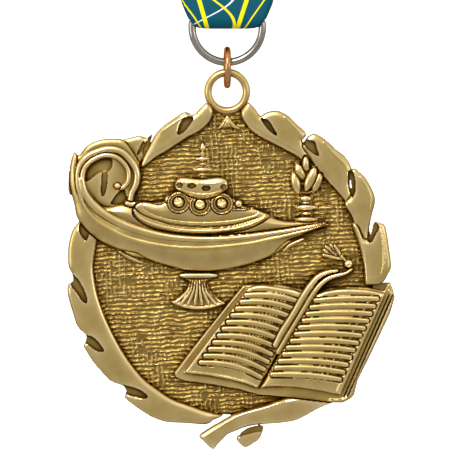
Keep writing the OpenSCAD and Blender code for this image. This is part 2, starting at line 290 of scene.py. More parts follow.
def draw_field():
    """Rough woven ground: wavy lines, crossed in patches."""
    turn = np.linspace(0, 2 * math.pi, 97)[:-1]
    board.area("medal_field", np.stack([24.2 * np.cos(turn), 24.4 * np.sin(turn)], 1),
               0.1, wall=1, steps=1)
    board.area("medal_field", [(-4.4, 26.5), (-3.4, 27), (-2.8, 26.4), (-0.3, 25.3), (2.2, 26.4),
                               (2.8, 27), (4.2, 26.3), (4, 22), (-5, 22)], 0.1, wall=1, steps=1)
    gx, gz = board.gx, board.gz
    bend = 0.35 * waves(gx, gz, 2.3, 3) + 0.4 * waves(gx, gz, 0.9, 4)
    lines = 0.5 + 0.5 * np.cos(2 * math.pi * ((gz - 0.05 * gx) / 0.72 + bend))
    posts = 0.5 + 0.5 * np.cos(2 * math.pi * ((gx + 0.05 * gz) / 0.78 + bend))
    broken = np.clip(waves(gx * 0.45, gz, 0.7, 5) * 2.4 - 0.6, 0, 1)
    patch = np.clip((waves(gx, gz * 0.7, 3.1, 6) - 0.47) * 6, 0, 1)
    nets = np.maximum(lines * (waves(gx, gz, 0.9, 8) > 0.42), posts * (waves(gx, gz, 1.1, 9) > 0.45))
    ground = lines ** 2.2 * (0.25 + 0.75 * broken) * (1 - patch) + patch * nets ** 2 * 0.9
    ground += 0.22 * waves(gx, gz, 0.4, 7)
    m = board.part == board.number("medal_field")
    board.h[m] += 0.3 * ground[m]


def draw_wreath():
    top = 1.15
    left, right = "wreath_left", "wreath_right"
    # Left branch, from the loop down to the lamp's handle
    board.area(left, [(-18, 21.2), (-16.8, 21.6), (-15.7, 21.9), (-14.7, 22), (-13.7, 21.7), (-12.8, 22.3),
        (-13.2, 20.8), (-14.2, 18.7), (-15, 17.7), (-15.8, 19.2), (-17, 20.3)], 0.85, edge=0.9, steps=3)
    board.notch([(-14.2, 21.1), (-14.7, 20.2), (-15.3, 18.9), (-14.8, 19.3), (-14.2, 20.2)], 0.3)
    board.notch([(-13.1, 21.8), (-13.8, 20.8), (-14.4, 19), (-13.7, 19.7), (-13.2, 20.8)], 0.3)
    board.area(left, [(-3.8, 27.5), (-2.9, 26.8), (-2.7, 25.8), (-3.2, 24.5), (-4.2, 23.4), (-5.3, 22.6),
        (-6.9, 21.8), (-9.9, 19.8), (-12.3, 18.4), (-14.5, 16.8), (-14.2, 18.5), (-13.3, 20.3),
        (-12.3, 22.2), (-11.2, 23.5), (-9.8, 24.5), (-8.8, 25.2), (-7.7, 25.9), (-6.8, 25.9), (-6.1, 25.5),
        (-5.2, 26.2)], top, edge=1.0, wall=0.5, lean=(0.006, 0.006), steps=4)
    board.notch([(-7, 25), (-7.7, 24.7), (-8.3, 23.5), (-8.5, 22.4), (-8, 22.4), (-7.2, 23.1), (-6.5, 24),
        (-6, 24.9), (-6.4, 25.2)], 0.25)
    board.ridge(left, [(-7.1, 25.1), (-7.9, 24.5), (-8.4, 23.5), (-8.6, 22.2)], [0.25, 0.4, 0.35, 0.2],
        0.12, add=True)
    # Behind the handle
    board.area(left, [(-26.5, 12.2), (-26.7, 15.2), (-26.4, 17.5), (-25.9, 19.1), (-25.6, 19.2),
        (-25, 18.8), (-23.8, 20.2), (-22.3, 21.1), (-20.5, 21.5), (-18.2, 21.5), (-17.2, 21),
        (-16.2, 19.7), (-14.8, 16.7), (-16, 12.7), (-18.5, 10.3), (-21.5, 10.5), (-24.2, 13)], 0.95,
        edge=0.8, steps=4)
    board.notch([(-24.2, 15), (-23.5, 16.9), (-22, 18), (-19.7, 18.2), (-19.6, 16.8), (-20.5, 16),
        (-21.6, 16), (-22.8, 15.1), (-23.7, 14.5)], 0.2)
    board.notch([(-21, 15.9), (-20.3, 15.9), (-20.4, 13.8), (-20.8, 12.2), (-21.2, 12.3), (-21.2, 14)],
        0.25)
    board.notch([(-18.3, 12.7), (-17.5, 13), (-17.2, 12), (-17, 10.8), (-19.5, 10.7), (-19.2, 11.5)], 0.2)
    # Left branch, below the lamp: one long band with leaf tips on its outer edge
    board.area(left, [(-24.8, 7.8), (-25.4, 7.3), (-26.1, 6.2), (-26.7, 4), (-26.8, 2), (-26.7, 0.2),
        (-26.1, -1), (-26, -2.2), (-26.8, -2.7), (-26.9, -4), (-26.6, -5.5), (-25.9, -7.8), (-25.2, -9.8),
        (-23.8, -11.2), (-23.9, -12.2), (-24.2, -13), (-23.5, -14.3), (-22.5, -15.8), (-21.3, -17.2),
        (-19.7, -18.8), (-17.7, -19.6), (-17.1, -20.5), (-17.4, -21.4), (-16.7, -22.2), (-14.8, -23.6),
        (-12.8, -24.8), (-10.5, -25.6), (-7.3, -25.8), (-3.8, -26), (-2.6, -25.3), (-1.1, -24.6),
        (-2.5, -24.2), (-4.3, -23.7), (-6.8, -22.8), (-9.5, -21.8), (-12, -20.2), (-14.2, -18.5),
        (-16.3, -16), (-18, -13.4), (-19.5, -10.6), (-20.8, -7.7), (-21.8, -4.8), (-22.3, -2.5),
        (-22.6, 0), (-22.4, 2.3), (-22, 4.7), (-21.3, 6.7), (-23.2, 8.2)], top, edge=0.9, wall=0.5, steps=3)
    board.ridge(left, [(-21.7, 5.3), (-22.2, 3), (-22.2, 0.3), (-21.9, -2.5), (-21.3, -4.8), (-20.3, -7.5),
        (-19.1, -10.3), (-17.6, -13.1), (-15.9, -15.7), (-13.8, -18.1), (-11.7, -19.8), (-9.2, -21.3),
        (-6.7, -22.4), (-4.2, -23.2), (-1.8, -24.1)], [0.5, 0.7, 0.7, 0.7, 0.3], 0.14, add=True,
        only=[left])
    for slit, lip in (
            ([(-24.7, 7.5), (-24.2, 7), (-23.5, 6.3), (-23.4, 5.5), (-23.7, 4.8), (-24, 4.7), (-24.5, 5.4),
                (-24.9, 6.3)], [(-25.1, 7.3), (-25, 6.2), (-24.6, 5.3), (-23.9, 4.5)]),
            ([(-26.2, -1.2), (-25.3, -1.8), (-24.4, -3.3), (-23.8, -4.7), (-23.7, -5.6), (-24, -5.8),
                (-24.8, -4.8), (-25.4, -3.9), (-26.2, -2.8)], [(-26.6, -2.8), (-25.8, -3.8), (-24.9, -5.1),
                (-23.9, -6)]),
            ([(-24, -11.2), (-23.4, -11.3), (-22.8, -11.5), (-21.8, -12.4), (-20.9, -13.7), (-21.3, -13.8),
                (-22, -13.7), (-23.1, -12.9), (-24, -12.2)], [(-23.9, -12.4), (-23, -13.2), (-22.1, -13.9),
                (-21.2, -13.9)]),
            ([(-17.7, -19.5), (-16.9, -19.7), (-15.8, -20), (-14.6, -20.5), (-13.6, -21.4), (-14.2, -21.6),
                (-15.5, -21.3), (-16.7, -21), (-17.4, -20.5)], [(-17.2, -21.2), (-16.3, -21.5),
                (-15.2, -21.8), (-13.6, -21.8)])):
        board.notch(slit, 0.25, 4)
        board.ridge(None, lip, [0.3, 0.45, 0.4, 0.2], 0.16, add=True)
    # Right branch
    board.area(right, [(3.2, 27.6), (4.3, 26.6), (5.2, 25.4), (6, 25.8), (6.8, 26.1), (8, 26.2), (9, 25.9),
        (10.2, 25.1), (11.5, 23.8), (12.6, 22.8), (12.8, 22), (12.2, 21.2), (12.8, 19.7), (13.5, 18.3),
        (12.3, 18), (11, 18.8), (8, 20.4), (5.5, 21.7), (3.8, 22.8), (2.9, 23.9), (2.2, 25), (2.1, 26.2)],
        top, edge=1.0, wall=0.5, lean=(-0.004, 0.004), steps=4)
    board.notch([(5.9, 24.8), (6.6, 24.4), (7.3, 23.3), (7.9, 22.2), (7.3, 22.5), (6.5, 23.2), (5.8, 24.2),
        (5.4, 24.8)], 0.25)
    board.area(right, [(12.8, 21.5), (13.2, 22), (14.1, 22.4), (15, 22.1), (16.3, 21.2), (17.8, 19.8),
        (19.2, 18.7), (20.2, 17.2), (20.4, 15.8), (20.1, 14), (20.5, 11.8), (19.8, 10.8), (18.7, 12),
        (17, 13.9), (15.5, 15.5), (14.2, 17.2), (13.1, 19), (12.2, 20.2)], top, edge=1.1, wall=0.5, steps=4)
    board.notch([(12.7, 21.4), (13.3, 21.2), (14.2, 21), (14.5, 20), (14.9, 18.8), (14.1, 19.1),
        (13.2, 19.8), (12.4, 20.8)], 0.25)
    board.area(right, [(20.3, 16.2), (20.9, 16.6), (21.6, 16.1), (22.6, 15.2), (23.5, 13.8), (24.2, 12.2),
        (24.3, 10.8), (23.9, 9.3), (23.6, 8), (23.2, 6), (23.1, 4.3), (22.3, 4.7), (21.3, 6.5),
        (20.4, 8.8), (19.3, 10.7), (20, 11.8), (20.5, 13), (20.3, 14.7)], top, edge=1.1, wall=0.5, steps=4)
    board.notch([(20, 15.9), (20.4, 16.1), (20.8, 15.2), (21, 13.3), (20.6, 11.9), (20.2, 12.7),
        (19.9, 14.3)], 0.25)
    board.area(right, [(24.2, 7.6), (25.2, 7.5), (25.9, 7.2), (26.3, 5.7), (26.7, 3), (27, 0.3),
        (26.5, -1), (25.8, -2.2), (24.8, -2.8), (23.5, -2.8), (22.7, -2.6), (22.5, -0.7), (22.2, 1.7),
        (21.4, 4.7), (20.5, 7.3), (21.5, 7), (22.5, 5), (23.5, 5.2)], top, edge=1.1, wall=0.5, steps=4)
    board.notch([(23.8, 8), (24.4, 7.5), (24.9, 6.8), (24.4, 5.7), (23.7, 4.4), (23.1, 4.6), (23.4, 6.5)],
        0.25)
    board.ridge(right, [(19.5, 10.5), (20.7, 8), (21.8, 5.2), (22.5, 2.3), (22.8, -0.3), (22.9, -2.2)],
        [0.5, 0.7, 0.7, 0.5], 0.12, add=True, only=[right])
    for crease in ([(9.2, 25.2), (11, 23.5), (12.2, 22), (13, 20.2)], [(15.7, 21), (17.8, 18.8),
            (19.5, 17), (19.8, 15.3)], [(21.8, 15.2), (23, 13.5), (23.7, 11.5), (23.5, 9.8)], [(25.2, 6.7),
            (25.7, 3.8), (25.8, 1), (25.3, -1.3)], [(-5, 25.8), (-7.2, 25.3), (-9.5, 24), (-11.5, 22.3)]):
        board.ridge(None, crease, [0.2, 0.5, 0.5, 0.2], 0.14, add=True)
    # Small leaf under the loop
    board.area("loop_leaf", [(-0.3, 25.6), (0.4, 24.7), (1.8, 23.1), (-0.2, 23.5), (-2, 23.1), (-1, 24.7)],
        0.62, edge=0.7, wall=0.4, steps=1)
    for side in (-1, 1):
        for k in range(4):
            x0, z0 = -0.3 + side * 0.25 * k, 24.9 - 0.45 * k
            board.ridge(None, [(x0, z0), (x0 + side * 0.5, z0 - 1.1)], 0.22, -0.12, steps=1, add=True)


def draw_stems():
    stems = "crossed_stems"
    board.area(stems, [(1.2, -28.4), (1.7, -27.8), (3, -26.7), (5.5, -26.2), (5.6, -27.2), (5, -28.5),
        (4, -29.2), (2.7, -29.9), (1.8, -29.2)], 1.05, edge=0.4, steps=2)
    board.notch([(0.7, -27.2), (2.8, -26.2), (5.5, -26), (5.6, -27.1), (4.7, -27.2), (3.5, -27.5),
        (2.3, -27.8), (1.6, -28)], 0.45, 2)
    board.area(stems, [(9.5, -21.7), (6.1, -22.8), (4.2, -23.3), (2.4, -23.8), (0.8, -24.3), (-0.1, -24.8),
        (-1.5, -25.6), (-2.7, -26.3), (-4, -27.1), (-5, -27.9), (-4.3, -28.8), (-2.7, -30.2),
        (-2.1, -29.6), (-1.3, -28.8), (-0.3, -27.7), (0.9, -27.2), (2.9, -26.4), (5.3, -26), (8.2, -25.8),
        (10.9, -25.4), (12.7, -24.6), (14.8, -23.4), (17.5, -22.3), (19.3, -21.7), (16.8, -20.7)], 1.4,
        edge=0.7, wall=0.5, steps=2)
    board.ridge(None, [(9.2, -22.2), (5.8, -23.3), (2.5, -24.2), (0.2, -25.3), (-2, -26.7), (-4.2, -28.1)],
        [0.3, 0.5, 0.5, 0.4], 0.1, add=True)


def draw_foot():
    foot = "lamp_foot"
    board.area(foot, [(-7.2, -1.6), (-3, -1.6), (-3.6, -2.2), (-3.8, -2.8), (-3.2, -3.9), (-2.2, -4.9),
        (-0.9, -5.5), (-0.8, -5.9), (-2.2, -6.6), (-5.3, -6.8), (-8.2, -6.6), (-9.6, -5.9), (-9.6, -5.4),
        (-8.5, -4.8), (-7.5, -3.8), (-6.8, -2.8), (-6.8, -2.2)], 0.95, edge=1.3, wall=0.25, steps=3)
    for k in range(8):
        t = (k - 3.5) / 3.5
        top_x, low_x = -5.1 + t * 1.35, -5.1 + t * 4.0
        board.ridge(None, [(top_x, -2.0), (top_x + (low_x - top_x) * 0.22, -3.9), (low_x,
            -5.75 - 0.25 * (1 - t * t))], [0.3, 0.45, 0.72, 0.62], 0.42, add=True)
    board.ridge(foot, [(-9.4, -5.6), (-7.5, -6.3), (-5.3, -6.6), (-3, -6.4), (-0.9, -5.8)], [0.4, 0.62,
        0.65, 0.62, 0.4], 1.05, wall=0.7, merge=True)
    board.area(foot, [(-8.3, -1), (-7.2, -0.8), (-5.2, -0.8), (-3, -0.8), (-1.9, -1), (-2, -1.5),
        (-3.2, -1.7), (-5.2, -1.8), (-7.2, -1.7), (-8.2, -1.5)], 1.0, edge=0.4, wall=0.45, steps=3)


def draw_lamp():
    bowl, rim, handle, lid = "lamp_bowl", "lamp_rim", "lamp_handle", "lamp_lid"
    # Leaf ribs under the two ends of the bowl
    for rib in ([(-18.5, 3.2), (-16.8, 2.5), (-15.2, 2.1), (-14.2, 1.8)], [(-18.2, 2.7), (-16.7, 1.8),
            (-15.3, 1.2), (-14.4, 0.9)], [(7.1, 2.2), (8, 3), (9, 3.8), (10.2, 4.5)], [(9.1, 2.8),
            (10, 3.7), (11.2, 4.3), (12.5, 4.9)]):
        board.ridge(bowl, rib, [0.5, 0.75, 0.75, 0.4], 0.55, wall=0.3)
    # The bowl's body, up to its pointed left end
    board.area(bowl, [(16.8, 7.3), (14.3, 6.4), (11.8, 5.4), (10.2, 4.8), (8.7, 3.7), (7.2, 2.2),
        (5.5, 1.4), (2.7, 0.5), (-0.3, -0.2), (-3.6, -0.5), (-7.4, -0.3), (-9.4, 0.2), (-11.9, 0.9),
        (-14.2, 1.8), (-15.5, 2.5), (-18, 3), (-20, 3.8), (-22.2, 4.9), (-24.2, 6.8), (-25.3, 8.4),
        (-25.8, 10.7), (-26.4, 13), (-26.6, 15), (-26.4, 17.5), (-25.8, 19.2), (-25.2, 18.5), (-25.2, 16),
        (-24.2, 13), (-22.7, 11), (-20.8, 9.5), (-17.8, 8.7), (-14.8, 10.5), (-8.2, 11.2), (1.8, 10.5),
        (6.5, 9), (8.5, 7.8), (11.2, 7.5), (13.8, 7.4)], 1.45, edge=3.0, wall=0.3, steps=3)
    # Inside of the bowl, behind the lid and out to the spout
    board.area(bowl, [(-23, 11.5), (-21.8, 10.6), (-20.2, 10.2), (-18.5, 10.5), (-17.2, 10.6),
        (-15.8, 10.2), (-13.2, 9), (-6.5, 7.7), (1.8, 8.3), (5.5, 9.2), (7.2, 8.4), (9.2, 7.8),
        (11.2, 7.7), (13.5, 7.8), (16, 7.5), (13.2, 7.2), (10.2, 6.8), (6.5, 6.2), (1.8, 5.7), (-4, 5.3),
        (-8.2, 5.4), (-11.8, 5.9), (-15.5, 6.9), (-19.2, 8.3), (-21.7, 9.9)], 1.5, edge=2.2, wall=0.45,
        steps=3)
    # Handle: the body's end curls over, with a second strap inside it
    board.ridge(handle, [(-24.4, 11.2), (-25.1, 13.3), (-25.2, 15.3), (-25, 16.5), (-24.5, 17.6),
        (-23.4, 18.7), (-21.8, 19.4), (-20, 19.8), (-18.2, 19.5), (-16.8, 18.4), (-15.8, 17),
        (-15.3, 15.6), (-15.5, 14), (-16.2, 12.5), (-16.5, 10.9)], [0.75, 0.9, 1.05, 1.15, 1.2, 1.25, 1.25,
        1.2, 1.1, 1.0], 1.55, wall=0.6)
    board.ridge(handle, [(-23.2, 11.2), (-24.1, 12.9), (-24.4, 14.7), (-24.3, 16), (-23.7, 17.2),
        (-22.4, 18.2), (-20.8, 18.8), (-19, 18.6), (-17.7, 17.7), (-16.8, 16.3), (-16.7, 14.9),
        (-17.1, 14), (-17.8, 13.4), (-18.5, 13.5)], [1.4, 1.2, 1.0, 0.95, 0.95, 0.95, 0.95, 0.95, 0.95,
        0.9, 0.9], 1.6, wall=0.6)
    board.bead(handle, -18.6, 13.7, 0.62, 0.56, 1.5, wall=0.5)
    board.ridge(handle, [(-17, 10.8), (-16.2, 10.6), (-15.1, 10.9)], [1.0, 1.1, 0.6], 1.5, wall=0.4,
        steps=3)
    # Rim: a broad strap on the left that narrows to the spout, and a thinner one below it
    board.ridge(rim, [(15.8, 7.2), (13.3, 6.4), (10.5, 5.7), (7.3, 4.9), (3.7, 4.1), (-0.3, 3.6),
        (-4.4, 3.3), (-8.4, 3.4), (-11.8, 3.8), (-14.7, 4.4), (-17.2, 5.2), (-19.5, 6.3), (-21.7, 7.6),
        (-23.3, 9.2), (-24.5, 11.2), (-25.1, 13.3), (-25.3, 15.3)], [0.25, 0.6, 0.85, 0.95, 0.95, 0.9, 0.8,
        0.7, 0.5], 1.52, wall=0.8, merge=True)
    board.ridge(rim, [(16, 7.5), (13.7, 7), (10.8, 6.4), (7.8, 5.9), (3.7, 5.3), (-0.3, 4.9), (-4.4, 4.8),
        (-8.4, 5), (-11.4, 5.4), (-14.3, 6.1), (-17, 7), (-19.5, 8.2), (-21.6, 9.6), (-23.2, 11.2),
        (-24.2, 12.9), (-24.6, 14.7)], [0.3, 0.7, 0.9, 0.95, 1.0, 1.15, 1.4, 1.5, 1.45, 1.15], 1.7,
        wall=0.72, merge=True)
    # Lid: a rolled rim and a low dome
    board.area(lid, [(-16, 9.9), (-15.5, 10.7), (-14.7, 11), (-13.2, 10.9), (-11.5, 10.6), (-10.2, 11.3),
        (-8.2, 12), (-4.2, 12.3), (-0.5, 12), (1.5, 10.6), (3.5, 10.1), (5.5, 9.4), (6.8, 8.8), (6.3, 8.1),
        (4.8, 7.2), (3, 6.5), (0.7, 6), (-3.4, 5.6), (-7.4, 5.7), (-11.4, 6.3), (-13.7, 7), (-15.4, 8.1),
        (-16.1, 9.1)], 1.3, edge=0.55, wall=0.55, steps=3)
    board.ridge(None, [(-15.8, 9.7), (-15.1, 8.6), (-13.5, 7.7), (-11.4, 7), (-9.4, 6.6), (-7.4, 6.3),
        (-3.4, 6.2), (0.3, 6.5), (2.8, 7.1), (4.7, 7.8), (6.2, 8.6)], [0.4, 0.6, 0.65, 0.6, 0.4], 0.32,
        add=True)
    board.ridge(None, [(-15.8, 10.2), (-14.7, 9.1), (-13.2, 8.4), (-11.3, 7.8), (-9.4, 7.3), (-4.4, 6.9),
        (0.3, 7.2), (2.8, 7.8), (4.7, 8.4)], [0.3, 0.38, 0.38, 0.38, 0.3], -0.3, add=True)
    board.area(lid, [(-14.3, 10.7), (-11.5, 10.4), (-8.8, 11.8), (-4.2, 12.7), (-0.2, 12), (2.3, 10.2),
        (4.8, 9.2), (2.8, 8.5), (0.3, 8), (-4.2, 7.7), (-8.8, 8), (-11.8, 8.7), (-13.8, 9.6)], 1.42,
        edge=3.2, wall=0.72, steps=3, base=0.55)
    # Scalloped cups with a pearl in each
    pearls = "lamp_pearls"
    board.ridge(pearls, [(0.7, 9.8), (2.2, 9.7), (3.8, 10)], [0.4, 0.35, 0.2], 1.45, wall=0.7, steps=3)
    for x, z, r in ((-10.1, 11.4, 0.7), (1.6, 10.7, 0.67)):
        board.bead(pearls, x, z, r, r, 1.3, wall=0.5)
    for x, z in ((-8.4, 10.9), (-4.8, 10.5), (-1.2, 10.7)):
        board.bead(pearls, x, z, 1.82, 1.75, 1.0, wall=1)
        board.ridge(pearls, oval(x, z, 1.68, 1.6), 0.4, 1.5, wall=0.6, steps=1)
        board.bead(pearls, x, z + 0.08, 1.0, 0.95, 1.42, wall=0.35)
        board.bead(None, x - 0.15, z + 0.2, 0.55, 0.5, -0.22, add=True)
    # Pierced crown and the finial above it
    crown = "lamp_crown"
    board.area(crown, [(-9, 14), (-8.6, 14.8), (-7.5, 15.1), (-4.7, 14.8), (-1.8, 15.1), (-0.6, 14.8),
        (-0.2, 14.2), (-0.3, 13.2), (-1.1, 12.5), (-2.4, 11.8), (-4.4, 11.4), (-6.4, 11.8), (-8, 12.6),
        (-8.9, 13.2)], 1.15, edge=1.2, wall=0.5, steps=3)
    board.ridge(None, [(-8.7, 14.5), (-6.5, 14.1), (-4.5, 14), (-2.5, 14.1), (-0.5, 14.5)], 0.35, 0.12,
        add=True)
    board.ridge(None, [(-8.6, 13.2), (-6.5, 12.5), (-4.4, 12.2), (-2.3, 12.5), (-0.6, 13.2)], 0.35, 0.1,
        add=True)
    for x, z, rx, rz in ((-8.2, 13.8, 0.43, 0.43), (-6.2, 13.7, 0.65, 0.37), (-3.8, 13.3, 0.65, 0.37),
            (-0.9, 13.5, 0.45, 0.42)):
        board.notch(oval(x, z, rx, rz), 0.5, 1)
    fin = "lamp_finial"
    board.area(fin, [(-4.8, 14.9), (-4.7, 16), (-4.7, 18), (-4.6, 19.7), (-4.1, 19.7), (-4.1, 18),
        (-4, 16), (-3.9, 14.9)], 0.42, edge=0.4, wall=0.4, steps=1)
    board.bead(fin, -4.3, 15.6, 0.8, 0.25, 0.42)
    board.bead(fin, -4.4, 16.4, 1.45, 0.36, 0.8)
    board.bead(fin, -4.3, 17.3, 0.6, 0.3, 0.45)
    board.bead(fin, -4.4, 18.2, 1.1, 0.36, 0.8)
    board.area(fin, [(-4.5, 21), (-4.1, 20.6), (-3.8, 20.1), (-3.9, 19.7), (-4.4, 19.4), (-4.8, 19.7),
        (-4.9, 20.1), (-4.7, 20.6)], 0.85, edge=0.7, wall=0.4, steps=3)
    # Burner discs and the flame's petals
    burner = "lamp_burner"
    board.area(burner, [(12.2, 12), (13.7, 12), (13.9, 7.7), (12.1, 7.7)], 0.6, edge=0.5, wall=0.5, steps=1)
    for x, z, rx, rz in ((12.9, 8.1, 1.79, 0.5), (12.9, 9.1, 1, 0.33), (12.9, 10.1, 1.79, 0.53), (12.8,
            10.9, 0.83, 0.29), (12.8, 11.6, 1.12, 0.48)):
        board.bead(burner, x, z, rx, rz, 1.1, wall=0.35)
    flame = "lamp_flame"
    for x, z, rz, rx, turn, h in ((11.1, 14.2, 1.83, 0.79, 14, 1), (14.7, 14.3, 1.75, 0.79, -22, 1), (11.8,
            16.1, 1.5, 0.75, 27, 1.1), (12.8, 17.4, 1.38, 0.65, 4, 1.15), (13.6, 14.9, 2.17, 0.88, -23,
            1.2)):
        board.bead(flame, x, z, rx, rz, h, wall=0.35, turn=turn)


def oval(x, z, rx, rz):
    """Points round an oval, the last on the first."""
    turn = np.linspace(0, 2 * math.pi, 25)
    return np.stack([x + rx * np.cos(turn), z + rz * np.sin(turn)], 1)


def lerp(a, b, t):
    return (a[0] + (b[0] - a[0]) * t, a[1] + (b[1] - a[1]) * t)


def row_path(start, finish, bow, t):
    """The bowed line of a page's row: start, finish and bow are given for its first and last."""
    a, b = lerp(*start, t), lerp(*finish, t)
    rise = bow[0] + (bow[1] - bow[0]) * t
    return [a] + [(m[0], m[1] + rise * f) for m, f in (
        (lerp(a, b, 0.3), 0.75), (lerp(a, b, 0.55), 1), (lerp(a, b, 0.8), 0.65))] + [b]


def draw_book():
    cover = "book_cover"
    board.area(cover, [(2.3, -2.8), (3, -2.8), (5.5, -2.6), (8.8, -2.8), (12, -3.5), (13.8, -4.2),
        (16.8, -3.3), (19.8, -3.1), (23.2, -3.2), (25.8, -3.7), (26.2, -2.8), (26.8, -2.3), (27.2, -3.3),
        (27.6, -4.8), (27.2, -6.3), (26.8, -7.6), (24.1, -13.3), (21.4, -18.8), (20.8, -21.2), (20, -21.9),
        (19, -22.4), (17, -22.4), (11.8, -21.8), (7.3, -21.3), (4.8, -21.1), (1.8, -20.2), (-2.7, -19.4),
        (-7.2, -18.8), (-8.8, -18.2), (-9.2, -17.4), (-6.5, -13.8), (-3.5, -10.1), (-0.5, -6.3)], 0.8,
        edge=0.35, wall=0.6, steps=1)
    left, right = "left_pages", "right_pages"
    left_top = open_curve([(2.8, -3.5), (3.8, -3), (5.8, -2.8), (8.7, -3.2), (11.2, -3.7), (13.3, -4.8)], 6)
    left_low = open_curve([(-7.7, -17.5), (-3.7, -17.9), (-0.1, -18.6), (2.9, -19.3), (4.9, -20.1)], 6)
    right_top = open_curve([(13.5, -5.1), (14.8, -4.3), (16.6, -3.7), (19.5, -3.4), (23.2, -3.6),
        (26.1, -4.2)], 6)
    right_low = open_curve([(5, -20), (7.3, -19.7), (10.9, -19.9), (14.6, -20.4), (18.6, -21.2)], 6)
    board.area(left, np.vstack([left_top, left_low[::-1]]), 1.35, edge=0.5, wall=0.6, steps=1)
    board.area(right, np.vstack([right_top, right_low[::-1]]), 1.35, edge=0.5, wall=0.6, steps=1)
    # The pages swell beside the gutter and sink into it
    w = board.window(np.vstack([left_top, right_low, left_low, right_top]), 0)
    gx, gz = board.gx[w], board.gz[w]
    d, _, _, _ = nearest(gx, gz, np.array([(13.7, -4.9), (5, -20)]), False)
    m = np.isin(board.part[w], [board.number(left), board.number(right)])
    swell = 0.2 * np.exp(-((d - 1.7) / 1.6) ** 2) - 0.28 * np.exp(-(d / 0.4) ** 2)
    board.h[w][m] += swell[m]
    # Edges of the page blocks, seen beside the right page and left of the left page
    for off in (0.433, 1.033):
        board.ridge(None, [(26.2 + off, -4.5), (18.7 + off, -21.4)], 0.28, -0.4, steps=1,
                    add=True)
    board.ridge(None, [(26.6, -3.7), (27.1, -5), (26.4, -7.3), (23.7, -13.2), (21, -18.7), (20.2, -21),
        (18.8, -21.9), (16.8, -21.9)], [0.35, 0.45, 0.45, 0.45, 0.35], 0.22, steps=2, add=True)
    board.ridge(None, [(2.5, -3.1), (-0.4, -6.6), (-3.4, -10.3), (-8.8, -17.5)], 0.5, 0.2, steps=1,
        add=True)
    board.ridge(None, [(3.5, -3.6), (-6.8, -17.1)], 0.9, 0.16, steps=1, add=True)
    board.ridge(None, [(-6.5, -17.4), (-0.2, -18.3), (4.5, -19.7)], 0.6, 0.12, steps=2, add=True)
    board.ridge(None, [(25.4, -4.8), (18.2, -20.5)], 0.9, 0.14, steps=1, add=True)
    # Rows of raised lines
    rows = "page_lines"
    for page, count, start, finish, bow in (
            (left, 11, [(2.9, -4.5), (-4.7, -15.7)], [(11.1, -5.4), (5.2, -18.1)], (0.42, 0.75)),
            (right, 12, [(14.4, -5.4), (7.2, -17.7)], [(24.6, -5.1), (18.4, -18.5)], (0.15, 0.3))):
        lines = [row_path(start, finish, bow, k / (count - 1)) for k in range(count)]
        for path in lines:
            board.ridge(page, path, 1.08, 1.1, wall=1, steps=3, only=[page])
        for path in lines:
            board.ridge(rows, path, [0.8, 1.0, 1.02, 1.0, 0.8], 0.5, base=1.1, wall=0.5, steps=3,
                        only=[page, rows])
    # Bookmark: two bands laid along the gutter, and its tassel
    mark = "bookmark"
    board.ridge(mark, [(8.1, -14), (9.3, -12), (11.1, -9), (12.8, -6.2), (14.3, -3.8), (15.8, -2.2),
        (17.3, -1.4), (19.3, -0.9), (20.4, -0.2)], [0.8, 0.85, 0.85, 0.85, 0.85, 0.7, 0.45], 1.55,
        wall=0.75)
    board.ridge(mark, [(7.7, -12.8), (8.8, -10.6), (10.6, -7.8), (12.3, -4.8), (13.7, -2.7), (14.8, -1.5),
        (16.3, -0.7), (18, -0.4)], [1.05, 1.15, 1.15, 1.15, 1.1, 0.85, 0.45], 1.75, wall=0.68)
    tassel = "bookmark_tassel"
    root = (19.1, 1.4)
    for end in ((15.8, 3), (16.1, 3.6), (16.9, 3.9), (17.6, 3.7), (15.7, 2.2)):
        board.ridge(tassel, [root, end], [0.3, 0.6, 0.75, 0.6], 0.75, wall=0.3, steps=1)
    board.ridge(tassel, [(19.8, 0.8), (18.7, 2)], [0.5, 0.45], 0.85, wall=0.4, steps=1)
    board.bead(tassel, 19.9, 0.7, 0.8, 0.75, 1.15, wall=0.35)


draw_field()
draw_wreath()
draw_stems()
draw_foot()
draw_lamp()
draw_book()


def find_hollows():
    """How deep each point lies among its neighbours: 1 in a recess, 0 on an edge; it sets both the patina
    and the painted shade.
    """
    ground = np.where(board.part < 0, 0.7, board.h)
    wide = soften(ground, 0.8 / Board.STEP) - ground
    fine = soften(ground, 0.3 / Board.STEP) - ground
    return wide, fine


WIDE, FINE = find_hollows()


# ---------------------------------------------------------------- finishes
def shared(name, inputs, outputs):
    """An empty node group with named sockets, and its two end nodes."""
    g = bpy.data.node_groups.new(name, "ShaderNodeTree")
    for label, kind, value in inputs:
        s = g.interface.new_socket(name=label, in_out="INPUT", socket_type=kind)
        if value is not None:
            s.default_value = value
    for label, kind in outputs:
        g.interface.new_socket(name=label, in_out="OUTPUT", socket_type=kind)
    return g, g.nodes.new("NodeGroupInput"), g.nodes.new("NodeGroupOutput")


def math_node(tree, kind, a, b=None, c=None):
    """One sum on numbers or sockets."""
    n = tree.nodes.new("ShaderNodeMath")
    n.operation = kind
    for k, value in enumerate((a, b, c)):
        if value is None:
            continue
        if isinstance(value, (int, float)):
            n.inputs[k].default_value = value
        else:
            tree.links.new(value, n.inputs[k])
    return n.outputs[0]


